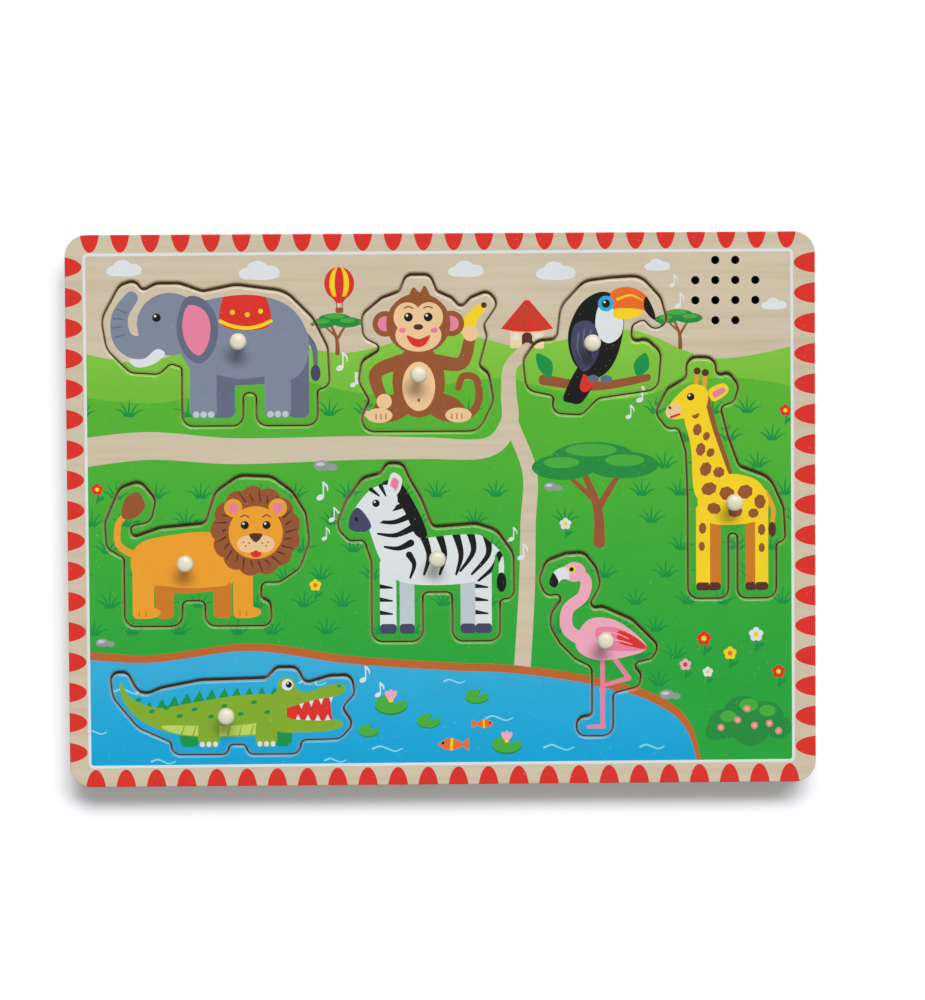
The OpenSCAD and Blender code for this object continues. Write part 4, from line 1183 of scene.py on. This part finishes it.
# Frame, floor, back and other plain parts: the CAD solid with its edges eased by a width in millimetres
def eased(node, width, finishes, body="tray", name=None):
    bm = cadCopy(node)
    bmesh.ops.dissolve_limit(bm, angle_limit=math.radians(1), verts=bm.verts, edges=bm.edges)
    sharp = []
    for e in bm.edges:
        if len(e.link_faces) != 2:
            continue
        turn = math.degrees(e.calc_face_angle())
        if turn > 30:
            sharp.append(e)
        elif turn > 1:
            for f in e.link_faces:
                f.smooth = True
    rounded = bmesh.ops.bevel(bm, geom=sharp, offset=width * mm, offset_type="OFFSET", segments=2,
                              profile=0.5, affect="EDGES", clamp_overlap=True, material=-1)
    for f in rounded["faces"]:
        f.smooth = True
    for f in bm.faces:
        f.material_index = 1 if len(finishes) > 1 and abs(f.normal.z) < 0.5 else 0
    return addPiece(bm, name or node + "_eased", finishes, body, node)


eased("well_floor", 0.15, ("backPly", "floorEdge"))
eased("back_panel", 0.5, ("backPly", "backEdge"))
for side, wood in {"front": "railLong", "rear": "railLong", "left": "railSide", "right": "railSide"}.items():
    eased("rail_" + side, 0.45, (wood,))
eased("panel_screws", 0.12, ("steel",))
print("frame and back eased")


# Battery door, with finger grooves in its underside
coverShape = {"grooves": 6, "first": 77.5, "pitch": 2.2, "wide": 1.1, "half": 7.5, "deep": 0.5, "slope": 0.18}


def buildCover():
    c = coverShape
    cover = eased("battery_cover", 0.2, ("plastic",), "battery_door", "battery_door_grip")
    middle = middleOf("battery_cover")[1]
    wide, half = c["wide"] * mm, c["half"] * mm
    bm = bmesh.new()
    bm.from_mesh(cover.data)
    starts = [(c["first"] + c["pitch"] * k) * mm for k in range(c["grooves"])]
    cuts = [((x, 0, 0), (1, 0, 0)) for s in starts for x in (s, s + wide)]
    cuts += [((0, middle + side * half, 0), (0, 1, 0)) for side in (-1, 1)]
    for at, way in cuts:
        whole = bm.verts[:] + bm.edges[:] + bm.faces[:]
        bmesh.ops.bisect_plane(bm, geom=whole, plane_co=at, plane_no=way, dist=1e-7)
    floors = []
    for f in bm.faces:
        at = f.calc_center_median()
        inside = any(s < at.x < s + wide for s in starts) and abs(at.y - middle) < half
        if inside and f.normal.z < -0.9:
            floors.append(f)
    bmesh.ops.inset_region(bm, faces=floors, thickness=c["slope"] * mm, use_even_offset=True)
    bmesh.ops.translate(bm, verts=list({v for f in floors for v in f.verts}), vec=(0, 0, c["deep"] * mm))
    bm.to_mesh(cover.data)
    bm.free()


eased("battery_box", 0.25, ("plastic",))
eased("screw_sleeve", 0.2, ("plastic",))
eased("contact_plates", 0.1, ("nickel",))
eased("cover_screw", 0.1, ("steel",), "door_screw")
buildCover()

# Cells and springs: the rear cell points right, the front cell left, each with a spring behind it
cellShape = {"radius": 5.25, "long": 44.5, "button": 1.9, "band": 32, "bare": 4.7}
springShape = {"foot": 3.62, "tip": 1.85, "wire": 0.34, "long": 3.8, "start": 0.35, "turns": 4.5,
               "perTurn": 16, "behind": 4.5}


def cellPlaces(reach):
    low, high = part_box("battery_cells")
    r = cellShape["radius"] * mm
    z = (low.z + high.z) / 2
    return (((high.x - reach * mm, high.y - r, z), 90), ((low.x + reach * mm, low.y + r, z), -90))


def joined(parts):
    bm = bmesh.new()
    for part in parts:
        mesh = meshOf(part, "part")
        bm.from_mesh(mesh)
        bpy.data.meshes.remove(mesh)
    return bm


def buildCells():
    c = cellShape
    r, long, b = c["radius"], c["long"], c["button"]
    profile = [(0, 0.12), (3.6, 0.12), (4.0, 0), (4.4, 0.05), (4.5, 0.3), (4.85, 0.2), (r, 0.6)]
    profile += [(r, c["band"]), (r, long - 1.5), (r - 0.3, long - 1.05), (r - 0.9, long - 0.95)]
    profile += [(r - 1.0, long - 1.2)]
    profile += [(2.5, long - 1.2), (2.3, long - 0.85), (b, long - 0.75), (b, long - 0.2)]
    profile += [(b - 0.2, long), (0, long)]

    def wrap(radius, z):
        return 0 if radius < c["bare"] else 1 if z < c["band"] else 2

    cells = joined([turned(profile, at, 40, lie, wrap) for at, lie in cellPlaces(long)])
    wraps = ("nickel", "sleeveDark", "sleeveBand")
    addPiece(cells, "cells_wrapped", wraps, "tray", "battery_cells")


# A coil that narrows to its tip
def coil(at, lie):
    s = springShape
    steps = int(s["turns"] * s["perTurn"])
    bm = bmesh.new()
    ready = Matrix.Translation((s["foot"] * mm, 0, s["start"] * mm)) @ Matrix.Rotation(math.pi / 2, 4, "X")
    bmesh.ops.create_circle(bm, cap_ends=False, segments=8, radius=s["wire"] * mm, matrix=ready)
    bmesh.ops.spin(bm, geom=bm.verts[:] + bm.edges[:], cent=(0, 0, 0), axis=(0, 0, 1),
                   dvec=(0, 0, s["long"] * mm / steps), angle=2 * math.pi * s["turns"], steps=steps)
    bmesh.ops.holes_fill(bm, edges=[e for e in bm.edges if e.is_boundary])
    bmesh.ops.recalc_face_normals(bm, faces=bm.faces)
    for v in bm.verts:
        up = min(1, max(0, (v.co.z / mm - s["start"]) / s["long"]))
        v.co.xy *= 1 + (s["tip"] / s["foot"] - 1) * up
    for f in bm.faces:
        f.smooth = True
    creaseSharp(bm, 60)
    return laid(bm, at, lie)


buildCells()
coils = joined([coil(at, lie) for at, lie in cellPlaces(cellShape["long"] + springShape["behind"])])
addPiece(coils, "spring_coils", ("nickel",), "tray", "contact_springs")
print("battery parts made")

# Light sensors: a small domed lens under each window
lensShape = {"radius": 2.5, "high": 1.5, "dome": 0.4, "step": 0.5}


def buildLenses():
    c = lensShape
    r, high, inner, edge = c["radius"], c["high"], c["radius"] - c["step"], c["high"] - c["dome"]
    profile = [(0, 0), (r, 0), (r, edge - 0.2), (r - 0.25, edge), (inner, edge)]
    profile += [(inner * math.cos(a), high - c["dome"] * (1 - math.sin(a))) for a in (0.3, 0.7, 1.1)]
    profile += [(0, high)]
    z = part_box("light_sensors")[0].z
    lenses = []
    for name in figures:
        x, y, _ = middleOf(name + "_knob")
        lenses.append(turned(profile, (x, y + settle * mm, z), 28))
    addPiece(joined(lenses), "sensor_lenses", ("sensor",), "tray", "light_sensors")


buildLenses()

# Paper cone under the sound holes, with a domed cap at its middle and a rolled surround
coneShape = {"coil": 4, "wall": 0.5, "slope": 1 / 3, "cone": 11.2, "roll": 12.8, "edge": 14.4, "rim": 15,
             "high": 4.5, "seam": 10.8, "thick": 0.6, "skin": 0.15, "capFoot": 1.25, "capHigh": 1.35}


def buildCone():
    c = coneShape
    neck, wall, high, seam, foot = c["coil"], c["wall"], c["high"], c["seam"], c["coil"] + c["wall"]

    def paper(radius):
        return wall + c["slope"] * (radius - neck)

    def arch(lift):
        half = (c["edge"] - c["cone"]) / 2
        rise = 0.5 - 0.5 * lift
        turns = [math.radians(a) for a in range(150, 0, -30)]
        return [(c["roll"] + half * math.cos(a), high - 1 + lift + rise * math.sin(a)) for a in turns]

    under = [(0, 0), (neck, 0), (neck, wall), (seam, paper(seam))]
    under += arch(0) + [(c["edge"], high - wall), (c["rim"], high - wall)]
    over = [(c["rim"], high - c["skin"]), (c["edge"], high - c["skin"])] + arch(0.5)[::-1]
    over += [(seam, paper(seam) + c["thick"]), (foot, paper(foot) + c["thick"])]
    over += [(neck * math.cos(a), c["capFoot"] + c["capHigh"] * math.sin(a)) for a in (0.15, 0.5, 0.85, 1.2)]
    over += [(0, c["capFoot"] + c["capHigh"])]
    x, y, _ = middleOf("speaker_cone")
    cone = turned(under + over, (x, y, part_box("speaker_cone")[0].z), 56)
    addPiece(cone, "paper_cone", ("cone",), "tray", "speaker_cone")


buildCone()

# Parts sealed inside the board keep their CAD solids
innerFinishes = {
    "speaker_gasket": "foam", "speaker_frame": "steel", "speaker_magnet": "ferrite", "circuit_board": "mask",
    "sensor_boards": "mask", "sound_chip": "resin", "capacitors": "sleeveBlue", "wire_ribbons": "cable",
}
for node, key in innerFinishes.items():
    cadNodes[node].data.materials.clear()
    cadNodes[node].data.materials.append(finish[key])
print("inner parts finished")
